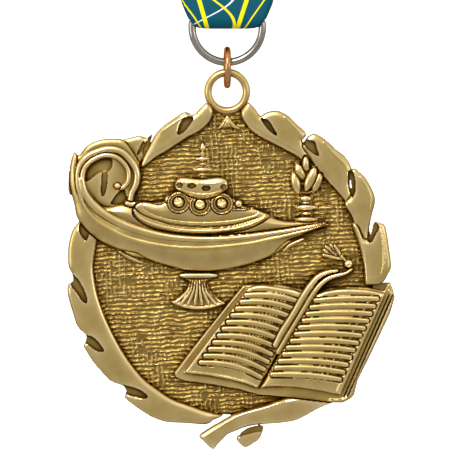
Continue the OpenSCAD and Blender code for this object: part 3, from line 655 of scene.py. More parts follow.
def grain_group():
    """Fine cast-metal grain and slow mottling."""
    g, gin, gout = shared("metal_grain", [("Grain size", "NodeSocketFloat", 0.15),
                                          ("Strength", "NodeSocketFloat", 0.3)],
                          [("Mottle", "NodeSocketFloat"), ("Normal", "NodeSocketVector")])
    where = g.nodes.new("ShaderNodeTexCoord")
    slow = g.nodes.new("ShaderNodeTexNoise")
    slow.inputs["Scale"].default_value = 420
    slow.inputs["Detail"].default_value = 5
    fine = g.nodes.new("ShaderNodeTexNoise")
    fine.inputs["Detail"].default_value = 4
    fine.inputs["Roughness"].default_value = 0.6
    g.links.new(math_node(g, "DIVIDE", 1000.0, gin.outputs["Grain size"]), fine.inputs["Scale"])
    bump = g.nodes.new("ShaderNodeBump")
    bump.inputs["Distance"].default_value = 0.03 * MM
    for n in (slow, fine):
        g.links.new(where.outputs["Object"], n.inputs["Vector"])
    g.links.new(gin.outputs["Strength"], bump.inputs["Strength"])
    g.links.new(fine.outputs[0], bump.inputs["Height"])
    g.links.new(slow.outputs[0], gout.inputs["Mottle"])
    g.links.new(bump.outputs[0], gout.inputs["Normal"])
    return g


def weave_group():
    """Over-and-under threads, along and across a coordinate in millimetres."""
    g, gin, gout = shared("weave", [("Vector", "NodeSocketVector", None),
                                    ("Warp pitch", "NodeSocketFloat", 0.3),
                                    ("Weft pitch", "NodeSocketFloat", 0.3),
                                    ("Strength", "NodeSocketFloat", 0.5)],
                          [("Height", "NodeSocketFloat"), ("Normal", "NodeSocketVector")])
    xyz = g.nodes.new("ShaderNodeSeparateXYZ")
    g.links.new(gin.outputs["Vector"], xyz.inputs[0])
    across = math_node(g, "SINE", math_node(g, "DIVIDE", math_node(
        g, "MULTIPLY", xyz.outputs[0], 2 * math.pi), gin.outputs["Warp pitch"]))
    along = math_node(g, "SINE", math_node(g, "DIVIDE", math_node(
        g, "MULTIPLY", xyz.outputs[1], 2 * math.pi), gin.outputs["Weft pitch"]))
    height = math_node(g, "MULTIPLY_ADD", math_node(g, "MULTIPLY", across, along), 0.5, 0.5)
    bump = g.nodes.new("ShaderNodeBump")
    bump.inputs["Distance"].default_value = 0.05 * MM
    g.links.new(gin.outputs["Strength"], bump.inputs["Strength"])
    g.links.new(height, bump.inputs["Height"])
    g.links.new(height, gout.inputs["Height"])
    g.links.new(bump.outputs[0], gout.inputs["Normal"])
    return g


def line_group():
    """A printed line that swings from side to side along the ribbon."""
    g, gin, gout = shared("printed_line", [("Vector", "NodeSocketVector", None),
                                           ("Offset", "NodeSocketFloat", 0.0),
                                           ("Swing", "NodeSocketFloat", 4.0),
                                           ("Turns", "NodeSocketFloat", 1.0),
                                           ("Phase", "NodeSocketFloat", 0.0),
                                           ("Width", "NodeSocketFloat", 0.6)],
                          [("Mask", "NodeSocketFloat")])
    xyz = g.nodes.new("ShaderNodeSeparateXYZ")
    g.links.new(gin.outputs["Vector"], xyz.inputs[0])
    turn = math_node(g, "MULTIPLY", math_node(g, "MULTIPLY", xyz.outputs[1], 2 * math.pi / 34),
                     gin.outputs["Turns"])
    swing = math_node(g, "SINE", math_node(g, "ADD", turn, gin.outputs["Phase"]))
    middle = math_node(g, "MULTIPLY_ADD", swing, gin.outputs["Swing"], gin.outputs["Offset"])
    off = math_node(g, "ABSOLUTE", math_node(g, "SUBTRACT", xyz.outputs[0], middle))
    over = math_node(g, "SUBTRACT", math_node(g, "MULTIPLY", gin.outputs["Width"], 0.5), off)
    mask = g.nodes.new("ShaderNodeMapRange")
    mask.interpolation_type = "SMOOTHSTEP"
    mask.inputs["From Min"].default_value = -0.05
    mask.inputs["From Max"].default_value = 0.08
    g.links.new(over, mask.inputs["Value"])
    g.links.new(mask.outputs[0], gout.inputs["Mask"])
    return g


GRAIN, WEAVE, LINE = grain_group(), weave_group(), line_group()


def material(name):
    m = bpy.data.materials.new(name)
    m.use_nodes = True
    return m, m.node_tree, m.node_tree.nodes["Principled BSDF"]


def use(tree, group, links=(), **values):
    n = tree.nodes.new("ShaderNodeGroup")
    n.node_tree = group
    for key, value in values.items():
        n.inputs[key.replace("_", " ")].default_value = value
    for source, label in links:
        tree.links.new(source, n.inputs[label])
    return n


def ramp(tree, fac, stops):
    n = tree.nodes.new("ShaderNodeValToRGB")
    e = n.color_ramp.elements
    while len(e) < len(stops):
        e.new(0.5)
    for k, (where, colour) in enumerate(stops):
        e[k].position = where
        e[k].color = (*colour, 1)
    tree.links.new(fac, n.inputs["Fac"])
    return n.outputs["Color"]


def blend_colour(tree, fac, a, b):
    n = tree.nodes.new("ShaderNodeMix")
    n.data_type = "RGBA"
    tree.links.new(fac, n.inputs["Factor"])
    for slot_name, value in (("A", a), ("B", b)):
        socket = [s for s in n.inputs if s.name == slot_name and s.type == "RGBA"][0]
        if isinstance(value, tuple):
            socket.default_value = (*value, 1)
        else:
            tree.links.new(value, socket)
    return [s for s in n.outputs if s.type == "RGBA"][0]


def finish_gold():
    """Antique gold: bright on raised edges, partly polish and partly a painted highlight; brown in hollows,
    partly patina and partly painted shade.
    """
    m, nt, bsdf = material("antique_gold")
    att = nt.nodes.new("ShaderNodeAttribute")
    att.attribute_name = "patina_with_shade"
    grain = use(nt, GRAIN, Grain_size=0.16, Strength=0.28)
    patina_shade_mottle = math_node(nt, "ADD", att.outputs["Fac"], math_node(
        nt, "MULTIPLY", math_node(nt, "SUBTRACT", grain.outputs["Mottle"], 0.5), 0.22))
    # The ramp runs from a painted highlight on the highest edges, through the gold's own tone, to patina
    # with painted shade in the deepest hollows.
    colour = ramp(nt, patina_shade_mottle, [(0.05, (0.92, 0.72, 0.38)), (0.3, (0.60, 0.435, 0.165)),
                             (0.5, (0.32, 0.21, 0.056)), (0.72, (0.12, 0.066, 0.010)),
                             (1.0, (0.025, 0.011, 0.002))])
    nt.links.new(colour, bsdf.inputs["Base Color"])
    rough = nt.nodes.new("ShaderNodeMapRange")
    rough.inputs["To Min"].default_value = 0.24
    rough.inputs["To Max"].default_value = 0.52
    nt.links.new(patina_shade_mottle, rough.inputs["Value"])
    nt.links.new(rough.outputs[0], bsdf.inputs["Roughness"])
    nt.links.new(grain.outputs["Normal"], bsdf.inputs["Normal"])
    bsdf.inputs["Specular Tint"].default_value = (0.82, 0.65, 0.35, 1)
    bsdf.inputs["Metallic"].default_value = 1.0
    return m


def finish_wire(name, light, dark, rough, grain_size):
    """Plated wire, with slow mottling between two tones."""
    m, nt, bsdf = material(name)
    grain = use(nt, GRAIN, Grain_size=grain_size, Strength=0.22)
    nt.links.new(ramp(nt, grain.outputs["Mottle"], [(0.35, light), (0.72, dark)]),
                 bsdf.inputs["Base Color"])
    nt.links.new(math_node(nt, "MULTIPLY_ADD", grain.outputs["Mottle"], 0.25, rough),
                 bsdf.inputs["Roughness"])
    nt.links.new(grain.outputs["Normal"], bsdf.inputs["Normal"])
    bsdf.inputs["Specular Tint"].default_value = (*dark, 1)
    bsdf.inputs["Metallic"].default_value = 1.0
    return m


def finish_cloth():
    """Satin ribbon, printed with yellow and white lines on teal."""
    m, nt, bsdf = material("printed_satin")
    where = nt.nodes.new("ShaderNodeUVMap")
    where.uv_map = "UVMap"
    uv = where.outputs[0]
    weave = use(nt, WEAVE, [(uv, "Vector")], Warp_pitch=0.34, Weft_pitch=0.55, Strength=0.5)
    colour = (0.0, 0.085, 0.125)
    yellow, white = (0.95, 0.84, 0.0), (0.85, 0.88, 0.88)
    for ink, offset, swing, turns, phase, width in (
            (white, 9.0, 3.0, 1, 2.6, 0.35), (white, -4.1, 5.4, 2, -0.74, 0.45),
            (yellow, -6.4, -3.8, 1, -0.684, 0.32), (yellow, -4.25, -1.6, 1, -0.7, 0.75),
            (yellow, -2.48, 3.68, 2, 1.127, 0.55), (yellow, 2.5, 1.8, 1, -0.555, 0.75),
            (yellow, 4.6, 3.85, 1, -0.555, 0.32)):
        line = use(nt, LINE, [(uv, "Vector")], Offset=offset, Swing=swing, Turns=turns,
                   Phase=phase, Width=width)
        colour = blend_colour(nt, line.outputs["Mask"], colour, ink)
    shade = nt.nodes.new("ShaderNodeMapRange")
    shade.inputs["To Min"].default_value = 0.8
    shade.inputs["To Max"].default_value = 1.05
    nt.links.new(weave.outputs["Height"], shade.inputs["Value"])
    tone = nt.nodes.new("ShaderNodeVectorMath")
    tone.operation = "SCALE"
    nt.links.new(colour, tone.inputs[0])
    nt.links.new(shade.outputs[0], tone.inputs["Scale"])
    nt.links.new(tone.outputs[0], bsdf.inputs["Base Color"])
    nt.links.new(weave.outputs["Normal"], bsdf.inputs["Normal"])
    bsdf.inputs["Roughness"].default_value = 0.55
    bsdf.inputs["Specular IOR Level"].default_value = 0.12
    bsdf.inputs["Sheen Weight"].default_value = 0.0
    return m


def finish_thread(name, light, dark, warp, weft):
    """Plain woven or twisted thread, over the piece's own place."""
    m, nt, bsdf = material(name)
    where = nt.nodes.new("ShaderNodeTexCoord")
    scaled = nt.nodes.new("ShaderNodeVectorMath")
    scaled.operation = "SCALE"
    scaled.inputs["Scale"].default_value = 1000
    nt.links.new(where.outputs["Object"], scaled.inputs[0])
    xyz = nt.nodes.new("ShaderNodeSeparateXYZ")
    nt.links.new(scaled.outputs[0], xyz.inputs[0])
    both = nt.nodes.new("ShaderNodeCombineXYZ")
    nt.links.new(math_node(nt, "ADD", xyz.outputs[0], xyz.outputs[1]), both.inputs[0])
    nt.links.new(xyz.outputs[2], both.inputs[1])
    weave = use(nt, WEAVE, [(both.outputs[0], "Vector")], Warp_pitch=warp, Weft_pitch=weft,
                Strength=0.7)
    # Darker where the weave lies low: painted shade between the threads.
    nt.links.new(ramp(nt, weave.outputs["Height"], [(0.0, dark), (0.7, light)]),
                 bsdf.inputs["Base Color"])
    nt.links.new(weave.outputs["Normal"], bsdf.inputs["Normal"])
    bsdf.inputs["Roughness"].default_value = 0.75
    bsdf.inputs["Sheen Weight"].default_value = 0.3
    return m


def finish_paper(name, colour, glow):
    m, nt, bsdf = material(name)
    noise = nt.nodes.new("ShaderNodeTexNoise")
    noise.inputs["Scale"].default_value = 6
    low = tuple(c * 0.97 for c in colour)
    nt.links.new(ramp(nt, noise.outputs[0], [(0.3, low), (0.7, colour)]),
                 bsdf.inputs["Base Color"])
    bsdf.inputs["Roughness"].default_value = 0.9
    bsdf.inputs["Emission Strength"].default_value = glow
    return m


GOLD = finish_gold()
COPPER = finish_wire("copper_wire", (0.62, 0.36, 0.17), (0.38, 0.16, 0.06), 0.12, 0.3)
NICKEL = finish_wire("nickel_wire", (0.42, 0.40, 0.35), (0.24, 0.22, 0.18), 0.08, 0.3)
CLOTH = finish_cloth()
THREAD = finish_thread("teal_thread", (0.02, 0.2, 0.27), (0.0, 0.08, 0.12), 0.35, 0.3)
ELASTIC = finish_thread("elastic_band", (0.05, 0.055, 0.06), (0.01, 0.012, 0.014), 0.5, 0.8)


# ---------------------------------------------------------------- the medal
def place(bm):
    """Board millimetres to the shared frame."""
    for v in bm.verts:
        x, h, z = v.co
        v.co = (MIDDLE.x + x * MM, FIELD_Y - h * MM, MIDDLE.z + z * MM)


def to_object(bm, name, body, material, replaces=()):
    mesh = bpy.data.meshes.new(name)
    bm.to_mesh(mesh)
    bm.free()
    mesh.shade_smooth()
    mesh.set_sharp_from_angle(angle=math.radians(62))
    obj = bpy.data.objects.new(name, mesh)
    bpy.context.scene.collection.objects.link(obj)
    mesh.materials.append(material)
    if body:
        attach(obj, body)
    if replaces:
        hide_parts(*replaces)
    return obj


def board_patch(mask, raised):
    """The board's faces in the mask, at their heights or flat at the field."""
    ci, cj = np.nonzero(mask)
    i0, i1, j0, j1 = ci.min(), ci.max() + 1, cj.min(), cj.max() + 1
    ni, nj = i1 - i0, j1 - j0
    bm = bmesh.new()
    bmesh.ops.create_grid(bm, x_segments=ni, y_segments=nj, size=0.5)
    layer = bm.verts.layers.float.new("patina_with_shade")
    doomed = []
    for f in bm.faces:
        c = f.calc_center_median()
        if not mask[i0 + int((c.x + 0.5) * ni), j0 + int((c.y + 0.5) * nj)]:
            doomed.append(f)
    for v in bm.verts:
        i, j = i0 + round((v.co.x + 0.5) * ni), j0 + round((v.co.y + 0.5) * nj)
        v.co = (board.x[i, j], board.h[i, j] if raised else 0, board.z[i, j])
        v[layer] = PATINA_SHADE_MAP[i, j]
    bmesh.ops.delete(bm, geom=doomed, context="FACES")
    return bm


def grid_mesh(mask, floor):
    """The raised faces of the board in the mask, closed down to a floor height."""
    bm = board_patch(mask, True)
    layer = bm.verts.layers.float["patina_with_shade"]
    rim_edges = [e for e in bm.edges if e.is_boundary]
    out = bmesh.ops.extrude_edge_only(bm, edges=rim_edges)
    skirt = [g for g in out["geom"] if isinstance(g, bmesh.types.BMVert)]
    # The skirt walls get a middling value, which stands for patina and painted shade.
    for v in skirt:
        v.co.y = floor
        v[layer] = 0.5
    marks = set(skirt)
    low_edges = [e for e in out["geom"] if isinstance(e, bmesh.types.BMEdge)
                 and e.verts[0] in marks and e.verts[1] in marks]
    bmesh.ops.triangle_fill(bm, edges=low_edges, use_beauty=False, use_dissolve=False)
    bmesh.ops.recalc_face_normals(bm, faces=bm.faces)
    return bm


PART = board.part
CORNERS = np.stack([PART[:-1, :-1], PART[1:, :-1], PART[:-1, 1:], PART[1:, 1:]])
FACES = np.where((CORNERS < 0).any(0), -1, CORNERS.max(0))
# Per point: darker deep in hollows and on the field, lighter on raised edges. This is partly the antique
# finish's patina, partly painted shade in recesses and along walls, and a painted highlight on edges.
PATINA_SHADE_MAP = 0.37 + 0.42 * WIDE + 0.6 * FINE + 0.14 * (PART == board.number("medal_field"))
PATINA_SHADE_MAP = np.clip(PATINA_SHADE_MAP, 0, 1)


def build_relief():
    for k, name in enumerate(board.names):
        bm = grid_mesh(FACES == k, 0.0)
        place(bm)
        node_name = "medal_plate" if name == "medal_field" else name
        to_object(bm, name + "_relief", "medallion", GOLD, (node_name,))


def plate_back():
    """The plate behind the relief: its side wall, a softened back edge and the round recess."""
    bm = board_patch(FACES >= 0, False)
    rim = [e for e in bm.edges if e.is_boundary]
    verts = list({v for e in rim for v in e.verts})
    out = {v: (v.co - sum((f.calc_center_median() for f in v.link_faces), Vector())
               / len(v.link_faces)).normalized() for v in verts}
    spot = {v: v.co.copy() for v in verts}
    beside = {v: [e.other_vert(v) for e in v.link_edges if e.is_boundary] for v in verts}
    for _ in range(4):
        out = {v: (out[v] * 2 + sum((out[n] for n in beside[v]), Vector())).normalized()
               for v in verts}
        spot = {v: spot[v] * 0.5 + sum((spot[n] for n in beside[v]), Vector())
                * 0.5 / len(beside[v]) for v in verts}
    plan = {tuple(round(c, 6) for c in v.co): (spot[v].copy(), out[v].copy()) for v in verts}
    deep = (BACK_Y - FIELD_Y) / MM
    top = list(bm.faces)
    edges = rim
    for k, (depth, inset) in enumerate(((0.3, 0), (deep - 0.35, 0), (deep - 0.1, 0.1), (deep, 0.35))):
        geom = bmesh.ops.extrude_edge_only(bm, edges=edges)["geom"]
        fresh = [g for g in geom if isinstance(g, bmesh.types.BMVert)]
        marks = set(fresh)
        edges = [g for g in geom if isinstance(g, bmesh.types.BMEdge)
                 and g.verts[0] in marks and g.verts[1] in marks]
        moved = {}
        for v in fresh:
            p, n = plan[tuple(round(c, 6) for c in v.co)]
            new = Vector((p.x - n.x * inset, -depth, p.z - n.z * inset))
            moved[v] = (new, (p, n))
        plan = {}
        for v, (new, keep) in moved.items():
            v.co = new
            plan[tuple(round(c, 6) for c in v.co)] = keep
    bmesh.ops.delete(bm, geom=top, context="FACES")
    ring = bmesh.ops.create_circle(bm, cap_ends=False, radius=RECESS_R / MM, segments=128,
                                   matrix=Matrix.Translation((0, -deep, 0))
                                   @ Matrix.Rotation(math.radians(90), 4, "X"))["verts"]
    marks = set(ring)
    circle = [e for e in bm.edges if e.verts[0] in marks and e.verts[1] in marks]
    bmesh.ops.triangle_fill(bm, edges=edges + circle, use_beauty=True)
    for depth, shrink in ((deep - RECESS_DEEP / MM * 0.75, 0.997), (deep - RECESS_DEEP / MM, 0.985)):
        geom = bmesh.ops.extrude_edge_only(bm, edges=circle)["geom"]
        fresh = [g for g in geom if isinstance(g, bmesh.types.BMVert)]
        marks = set(fresh)
        circle = [g for g in geom if isinstance(g, bmesh.types.BMEdge)
                  and g.verts[0] in marks and g.verts[1] in marks]
        for v in fresh:
            v.co = (v.co.x * shrink, -depth, v.co.z * shrink)
    bmesh.ops.triangle_fill(bm, edges=circle, use_beauty=True)
    bmesh.ops.triangle_fill(bm, edges=[e for e in bm.edges if e.is_boundary], use_beauty=True)
    layer = bm.verts.layers.float["patina_with_shade"]
    for v in bm.verts:
        v[layer] = 0.34
    bmesh.ops.recalc_face_normals(bm, faces=bm.faces)
    place(bm)
    to_object(bm, "medal_back", "medallion", GOLD, ("medal_plate",))


# ---------------------------------------------------------------- rings
def surface(rows, cols, point, close_rows=False, close_cols=False, uv=None):
    """A grid of rows x cols faces, each vertex put where point(row, col) says, in mm."""
    bm = bmesh.new()
    bmesh.ops.create_grid(bm, x_segments=rows, y_segments=cols, size=0.5)
    spots = [(v, round((v.co.x + 0.5) * rows), round((v.co.y + 0.5) * cols)) for v in bm.verts]
    index = {v: (i, j) for v, i, j in spots}
    if uv is not None:
        layer = bm.loops.layers.uv.new("UVMap")
        for f in bm.faces:
            for loop in f.loops:
                loop[layer].uv = uv(*index[loop.vert])
    for v, i, j in spots:
        v.co = Vector(point(i % rows if close_rows else i, j % cols if close_cols else j)) * MM
    if close_rows or close_cols:
        bmesh.ops.remove_doubles(bm, verts=bm.verts, dist=1e-8)
    bmesh.ops.recalc_face_normals(bm, faces=bm.faces)
    return bm


def wire(name, path, sides, section, body, material, replaces, closed=True):
    """A round or oval wire along a path of points that lie in one plane."""
    path = [Vector(p) for p in path]
    n = len(path)
    middle = sum(path, Vector()) / n
    normal = (path[n // 3] - path[0]).cross(path[2 * n // 3] - path[0]).normalized()

    def point(i, j):
        a, b = path[(i - 1) % n], path[(i + 1) % n]
        if not closed:
            a, b = path[max(i - 1, 0)], path[min(i + 1, n - 1)]
        along = (b - a).normalized()
        side = along.cross(normal)
        t = 2 * math.pi * j / sides
        return path[i] + side * math.cos(t) * section[0] + normal * math.sin(t) * section[1]

    bm = surface(n if closed else n - 1, sides, point, close_rows=closed, close_cols=True)
    if not closed:
        bmesh.ops.holes_fill(bm, edges=[e for e in bm.edges if e.is_boundary], sides=0)
        bmesh.ops.recalc_face_normals(bm, faces=bm.faces)
    layer = bm.verts.layers.float.new("patina_with_shade")
    for v in bm.verts:
        v[layer] = 0.3
    return to_object(bm, name, body, material, replaces)


def arc(cx, cz, r, a0, a1, steps, y=0.0):
    out = []
    for k in range(steps + 1):
        a = math.radians(a0 + (a1 - a0) * k / steps)
        out.append((cx + r * math.cos(a), y, cz + r * math.sin(a)))
    return out


def build_rings():
    """The cast loop, the open-ended jump ring and the ribbon ring with its straight bar."""
    low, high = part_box("suspension_loop")
    z_top = high[2] / MM
    x_mid = (low[0] + high[0]) / 2 / MM
    wire("suspension_loop_cast", arc(x_mid, z_top - LOOP_R - LOOP_WIRE_R, LOOP_R, 0, 357, 119), 24,
         (0.66, 0.72), "medallion", GOLD, ("suspension_loop",))
    low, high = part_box("jump_ring")
    z_mid = (low[2] + high[2]) / 2 / MM
    turn = math.radians(2)
    path = [(-y * math.sin(turn), y * math.cos(turn), z)
            for y, _, z in arc(0, z_mid, (high[2] - low[2]) / 2 / MM - JUMP_WIRE_R, 52, 410, 119)]
    wire("jump_ring_wire", path, 20, (JUMP_WIRE_R, JUMP_WIRE_R), "jump", COPPER,
        ("jump_ring",),
         closed=False)
    low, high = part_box("ribbon_ring")
    r = (high[0] - low[0]) / 2 / MM - RING_WIRE_R
    bar = high[2] / MM - RING_WIRE_R
    mid = low[2] / MM + RING_WIRE_R + r
    k = RING_CORNER_R
    path = ([(-r + k + (2 * r - 2 * k) * t / 24, 0, bar) for t in range(25)]
            + arc(r - k, bar - k, k, 90, 0, 12)[1:]
            + [(r, 0, bar - k + (mid - bar + k) * t / 3) for t in range(1, 3)]
            + arc(0, mid, r, 0, -180, 90)
            + [(-r, 0, mid + (bar - k - mid) * t / 3) for t in range(1, 3)]
            + arc(-r + k, bar - k, k, 180, 90, 12)[:-1])
    wire("ribbon_ring_wire", path, 24, (RING_WIRE_R, RING_WIRE_R), "ring", NICKEL,
         ("ribbon_ring",))


# ---------------------------------------------------------------- ribbon
WIDE_MM = 22.0        # the ribbon's full width
LAYER = 0.27          # half the distance between its two layers
BAR_ROOM = 1.3        # the same where they part round the ring's bar
BAR_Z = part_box("ribbon_ring")[1][2] / MM - RING_WIRE_R
ROD_R = 4.5           # the ribbon's bend over the rod, to its middle
PRINT_REPEAT = 34     # length after which the print starts again
CLOTH_THICK = 0.38


def lay_ribbon():
    """The middle line of the doubled ribbon, from the ring to the far end of the loop."""
    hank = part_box("ribbon_hank")
    first, last = hank[0][1] / MM + 0.5, hank[1][1] / MM - 0.75
    top, bottom = hank[1][2] / MM - 0.8, hank[0][2] / MM + 0.9
    runs = 9
    pitch = (last - first) / (runs - 1)
    line = [(0, BAR_Z + 0.01 + 0.99 * k) for k in range(7)]
    line += [(0, z) for z in np.arange(BAR_Z + 8, -0.5, 1.6)]
    line += [(ROD_R - ROD_R * math.cos(a), ROD_R * math.sin(a)) for a in np.linspace(0, math.pi, 25)]
    line += [(first, z) for z in np.arange(-1.5, top, -1.5)]
    down = True
    for k in range(runs):
        y = first + pitch * k
        zs = np.arange(top, bottom, -1.6)
        sway = [0.1 * math.sin(1.7 * k + z * 0.35) * (z + 5) / 40 for z in zs]
        shift = 0.5 * math.sin(2.3 * k)
        run = [(y + s, z) for s, z in zip(sway, zs)]
        if not down:
            run = run[::-1]
        line += run
        if k < runs - 1:
            z_end = (bottom + (0.2 * shift)) if down else (top - 0.3 - 0.3 * abs(shift))
            sign = -1 if down else 1
            line += [(y + pitch / 2 - pitch / 2 * math.cos(a), z_end + sign * pitch / 2 * math.sin(a))
                     for a in np.linspace(0.15, math.pi - 0.15, 9)]
        down = not down
    line = np.array(line)
    keep = np.concatenate([[True], np.hypot(*np.diff(line, axis=0).T) > 0.12])
    return line[keep]


def ribbon_loop():
    """Both layers, from the bottom of the fold round the whole loop and back to it."""
    mid = lay_ribbon()
    step = np.gradient(mid, axis=0)
    step /= np.hypot(*step.T)[:, None]
    left = np.stack([-step[:, 1], step[:, 0]], 1)
    z = mid[:, 1]
    spread = np.full(len(mid), LAYER)
    near = np.arange(len(mid)) < np.argmax(z > BAR_Z + 14)
    t = np.clip((z - BAR_Z) / 12, 0, 1)
    spread[near] = (BAR_ROOM + (LAYER - BAR_ROOM) * t * t * (3 - 2 * t))[near]
    front, behind = mid + left * spread[:, None], mid - left * spread[:, None]
    front, behind = (front, behind) if front[5, 0] < behind[5, 0] else (behind, front)
    fold = [(-BAR_ROOM * math.cos(a), BAR_Z - 1.7 * math.sin(a)) for a in np.linspace(math.pi / 2, 0.08,
        12)]
    under = [(-y, z) for y, z in fold[:0:-1]]
    end = mid[-1] + step[-1] * LAYER
    loop = np.vstack([fold, front, [end], behind[::-1], under])
    size = np.hypot(*(np.roll(loop, -1, 0) - loop).T)
    return loop, np.concatenate([[0], np.cumsum(size)])


def build_ribbon():
    loop, along = ribbon_loop()
    n, cols = len(loop), 44
    total = along[-1]
    repeat = PRINT_REPEAT * round(total / PRINT_REPEAT) / total
    step = np.roll(loop, -1, 0) - np.roll(loop, 1, 0)
    step /= np.hypot(*step.T)[:, None]
    from_fold = np.minimum(along[:-1], total - along[:-1])
    inward = np.stack([-step[:, 1], step[:, 0]], 1)
    # Towards the middle of the doubled ribbon
    inward *= -np.sign(inward[3, 0] * loop[3, 0])

    def point(i, j):
        t = -WIDE_MM / 2 + WIDE_MM * j / cols
        u = from_fold[i]
        y, z = loop[i]
        x, deep = t, 0.0
        if u < 16:
            half = min(11.0, 5.35 + 0.44 * u)
            half -= 0.15 * math.exp(-((half - 11) / 0.8) ** 2)
            if u < 2.4:
                half -= 1.75 * (1 - math.sqrt(1 - (1 - u / 2.4) ** 2))
            r = 0.2
            over = abs(t) - (half - r)
            if over > 0:
                if over < math.pi * r:
                    x = math.copysign(half - r + r * math.sin(over / r), t)
                    deep = r * (1 - math.cos(over / r))
                else:
                    x = math.copysign(half - r - (over - math.pi * r), t)
                    deep = 2 * r
        y += inward[i][0] * deep
        z += inward[i][1] * deep
        # Squeezed by the tie
        if y > 7:
            g = math.exp(-((z + 24) / 5) ** 2)
            y = 14 + (y - 14) * (1 - 0.07 * g)
            x *= 1 - 0.035 * g
            x += 0.3 * math.sin(y * 2.2) * (1 - g) * min(1, max(0, (-6 - z) / 6))
        return (x, y, z)

    bm = surface(n, cols, point, close_rows=True,
                 uv=lambda i, j: (WIDE_MM * (j / cols - 0.5), along[i] * repeat))
    for f in bm.faces:
        f.smooth = True
    mesh = bpy.data.meshes.new("neck_ribbon_cloth")
    bm.to_mesh(mesh)
    bm.free()
    mesh.materials.append(CLOTH)
    obj = bpy.data.objects.new("neck_ribbon_cloth", mesh)
    bpy.context.scene.collection.objects.link(obj)
    thick = obj.modifiers.new("thickness", "SOLIDIFY")
    thick.thickness = CLOTH_THICK * MM
    thick.offset = 0
    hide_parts("neck_ribbon", "ribbon_hank")
    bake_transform(obj, "ribbon", "ring", start=(0, 0, (BAR_Z + 1.6) * MM), end=(0, 0, (BAR_Z - 0.4) * MM))


def front_of_ribbon(z):
    t = min(1, max(0, (z - BAR_Z) / 12))
    return -(BAR_ROOM + (LAYER - BAR_ROOM) * t * t * (3 - 2 * t)) - CLOTH_THICK / 2


def build_stitches():
    bm = bmesh.new()
    for z in (BAR_Z + 5.5, BAR_Z + 8):
        half = min(10.2, 5.4 + 0.4 * (z - BAR_Z + 1.4))
        count = int(2 * half / 1.9)
        for k in range(count):
            x = (k - (count - 1) / 2) * 1.9
            bmesh.ops.create_uvsphere(
                bm, u_segments=12, v_segments=8, radius=0.5,
                matrix=Matrix.Translation((x * MM, (front_of_ribbon(z) - 0.02) * MM, z * MM))
                @ Matrix.Rotation(math.radians(3), 4, "Y")
                @ Matrix.Diagonal((1.35 * MM, 0.34 * MM, 0.36 * MM, 1)))
    to_object(bm, "ribbon_stitches", "ribbon", THREAD, ("ribbon_stitching",))


def build_tie():
    low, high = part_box("ribbon_tie")
    x0, y0, y1 = high[0] / MM - 0.42, low[1] / MM + 0.36, high[1] / MM - 0.42
    z_mid = (low[2] + high[2]) / 2 / MM
    tall = (high[2] - low[2]) / MM
    r = 1.2
    path = []
    for cx, cy, a0 in ((x0 - r, y1 - r, 0), (-x0 + r, y1 - r, 90), (-x0 + r, y0 + r, 180), (x0 - r, y0 + r,
            270)):
        path += [(cx + r * math.cos(math.radians(a0 + a)), cy + r * math.sin(math.radians(a0 + a)))
                 for a in np.linspace(0, 90, 9)]
        nxt = {0: (-x0 + r, y1), 90: (-x0, y0 + r), 180: (x0 - r, y0), 270: (x0, y1 - r)}[a0]
        lx, ly = path[-1]
        count = 12 if a0 in (0, 180) else 6
        path += [(lx + (nxt[0] - lx) * t / count, ly + (nxt[1] - ly) * t / count) for t in range(1, count)]
    rows, cols = len(path), 24
    ring = []
    for k in range(cols):
        a = 2 * math.pi * k / cols
        ca, sa = math.cos(a), math.sin(a)
        ring.append((0.24 * math.copysign(abs(ca) ** 0.5, ca), tall / 2 * math.copysign(abs(sa) ** 0.35,
            sa)))

    def point(i, j):
        x, y = path[i]
        a, b = path[i - 1], path[(i + 1) % rows]
        d = Vector((b[0] - a[0], b[1] - a[1])).normalized()
        out, up = ring[j]
        return (x + d.y * out, y - d.x * out, z_mid + up)

    bm = surface(rows, cols, point, close_rows=True, close_cols=True)
    to_object(bm, "ribbon_tie_band", "ribbon", ELASTIC, ("ribbon_tie",))


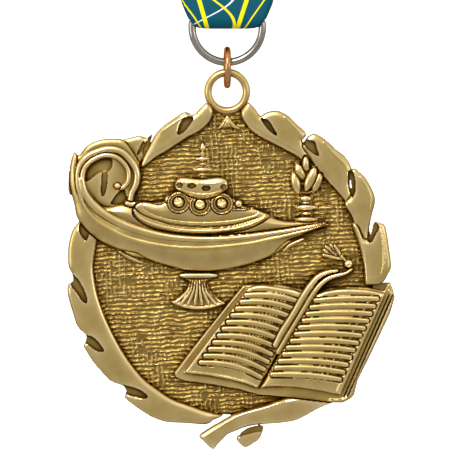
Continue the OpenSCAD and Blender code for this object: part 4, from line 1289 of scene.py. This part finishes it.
def stage():
    """Pale floor and back wall, soft light from above and the left, camera straight in front."""
    scene = bpy.context.scene
    scene.view_settings.view_transform = "Standard"
    cam = bpy.data.cameras.new("camera")
    cam.lens, cam.sensor_width, cam.clip_end = 480, 36, 10
    eye = bpy.data.objects.new("camera", cam)
    eye.location = (MIDDLE.x - 0.67 * MM, -1.0, MIDDLE.z + 7.17 * MM)
    eye.rotation_euler = (math.radians(90), 0, 0)
    scene.collection.objects.link(eye)
    scene.camera = eye
    world = bpy.data.worlds.new("studio")
    world.use_nodes = True
    nt = world.node_tree
    where = nt.nodes.new("ShaderNodeTexCoord")
    xyz = nt.nodes.new("ShaderNodeSeparateXYZ")
    nt.links.new(where.outputs["Generated"], xyz.inputs[0])
    tilt = math_node(nt, "MULTIPLY_ADD", xyz.outputs[2], 0.5, 0.5)
    nt.links.new(ramp(nt, tilt, [(0.3, (0.10, 0.10, 0.11)), (0.47, (0.50, 0.50, 0.49)),
                                 (0.75, (0.95, 0.95, 0.95))]),
                 nt.nodes["Background"].inputs["Color"])
    nt.nodes["Background"].inputs["Strength"].default_value = 1.0
    scene.world = world
    aim = Vector((MIDDLE.x, 0, MIDDLE.z))
    for name, spot, size, power in (("key", (-0.14, -0.42, 0.36), 0.2, 2.1),
                                    ("left", (-0.6, -0.4, 0.08), 0.3, 0.9),
                                    ("right", (0.6, -0.45, 0.15), 0.25, 0.55)):
        light = bpy.data.lights.new(name, "AREA")
        light.energy, light.size = power, size
        lamp = bpy.data.objects.new(name, light)
        lamp.location = aim + Vector(spot)
        lamp.rotation_euler = (aim - lamp.location).to_track_quat("-Z", "Y").to_euler()
        scene.collection.objects.link(lamp)
    floor_z = CAD_BOX[0][2] - 0.45
    for name, low, high, glow in (("floor", (-4, -4, floor_z), (4, 3, floor_z), 0.0),
                                  ("wall", (-4, 3, floor_z), (4, 3, 3.5), 0.9)):
        bm = bmesh.new()
        bmesh.ops.create_grid(bm, x_segments=4, y_segments=4, size=0.5)
        for v in bm.verts:
            u, w = v.co.x + 0.5, v.co.y + 0.5
            v.co.x = low[0] + (high[0] - low[0]) * u
            v.co.y = low[1] + (high[1] - low[1]) * w
            v.co.z = low[2] + (high[2] - low[2]) * w
        mesh = bpy.data.meshes.new(name)
        bm.to_mesh(mesh)
        bm.free()
        shade = 0.85 if glow else 0.5
        mesh.materials.append(finish_paper(name + "_paper", (shade, shade, shade), glow))
        obj = bpy.data.objects.new(name, mesh)
        scene.collection.objects.link(obj)


build_relief()
plate_back()
build_rings()
build_ribbon()
build_stitches()
build_tie()
stage()
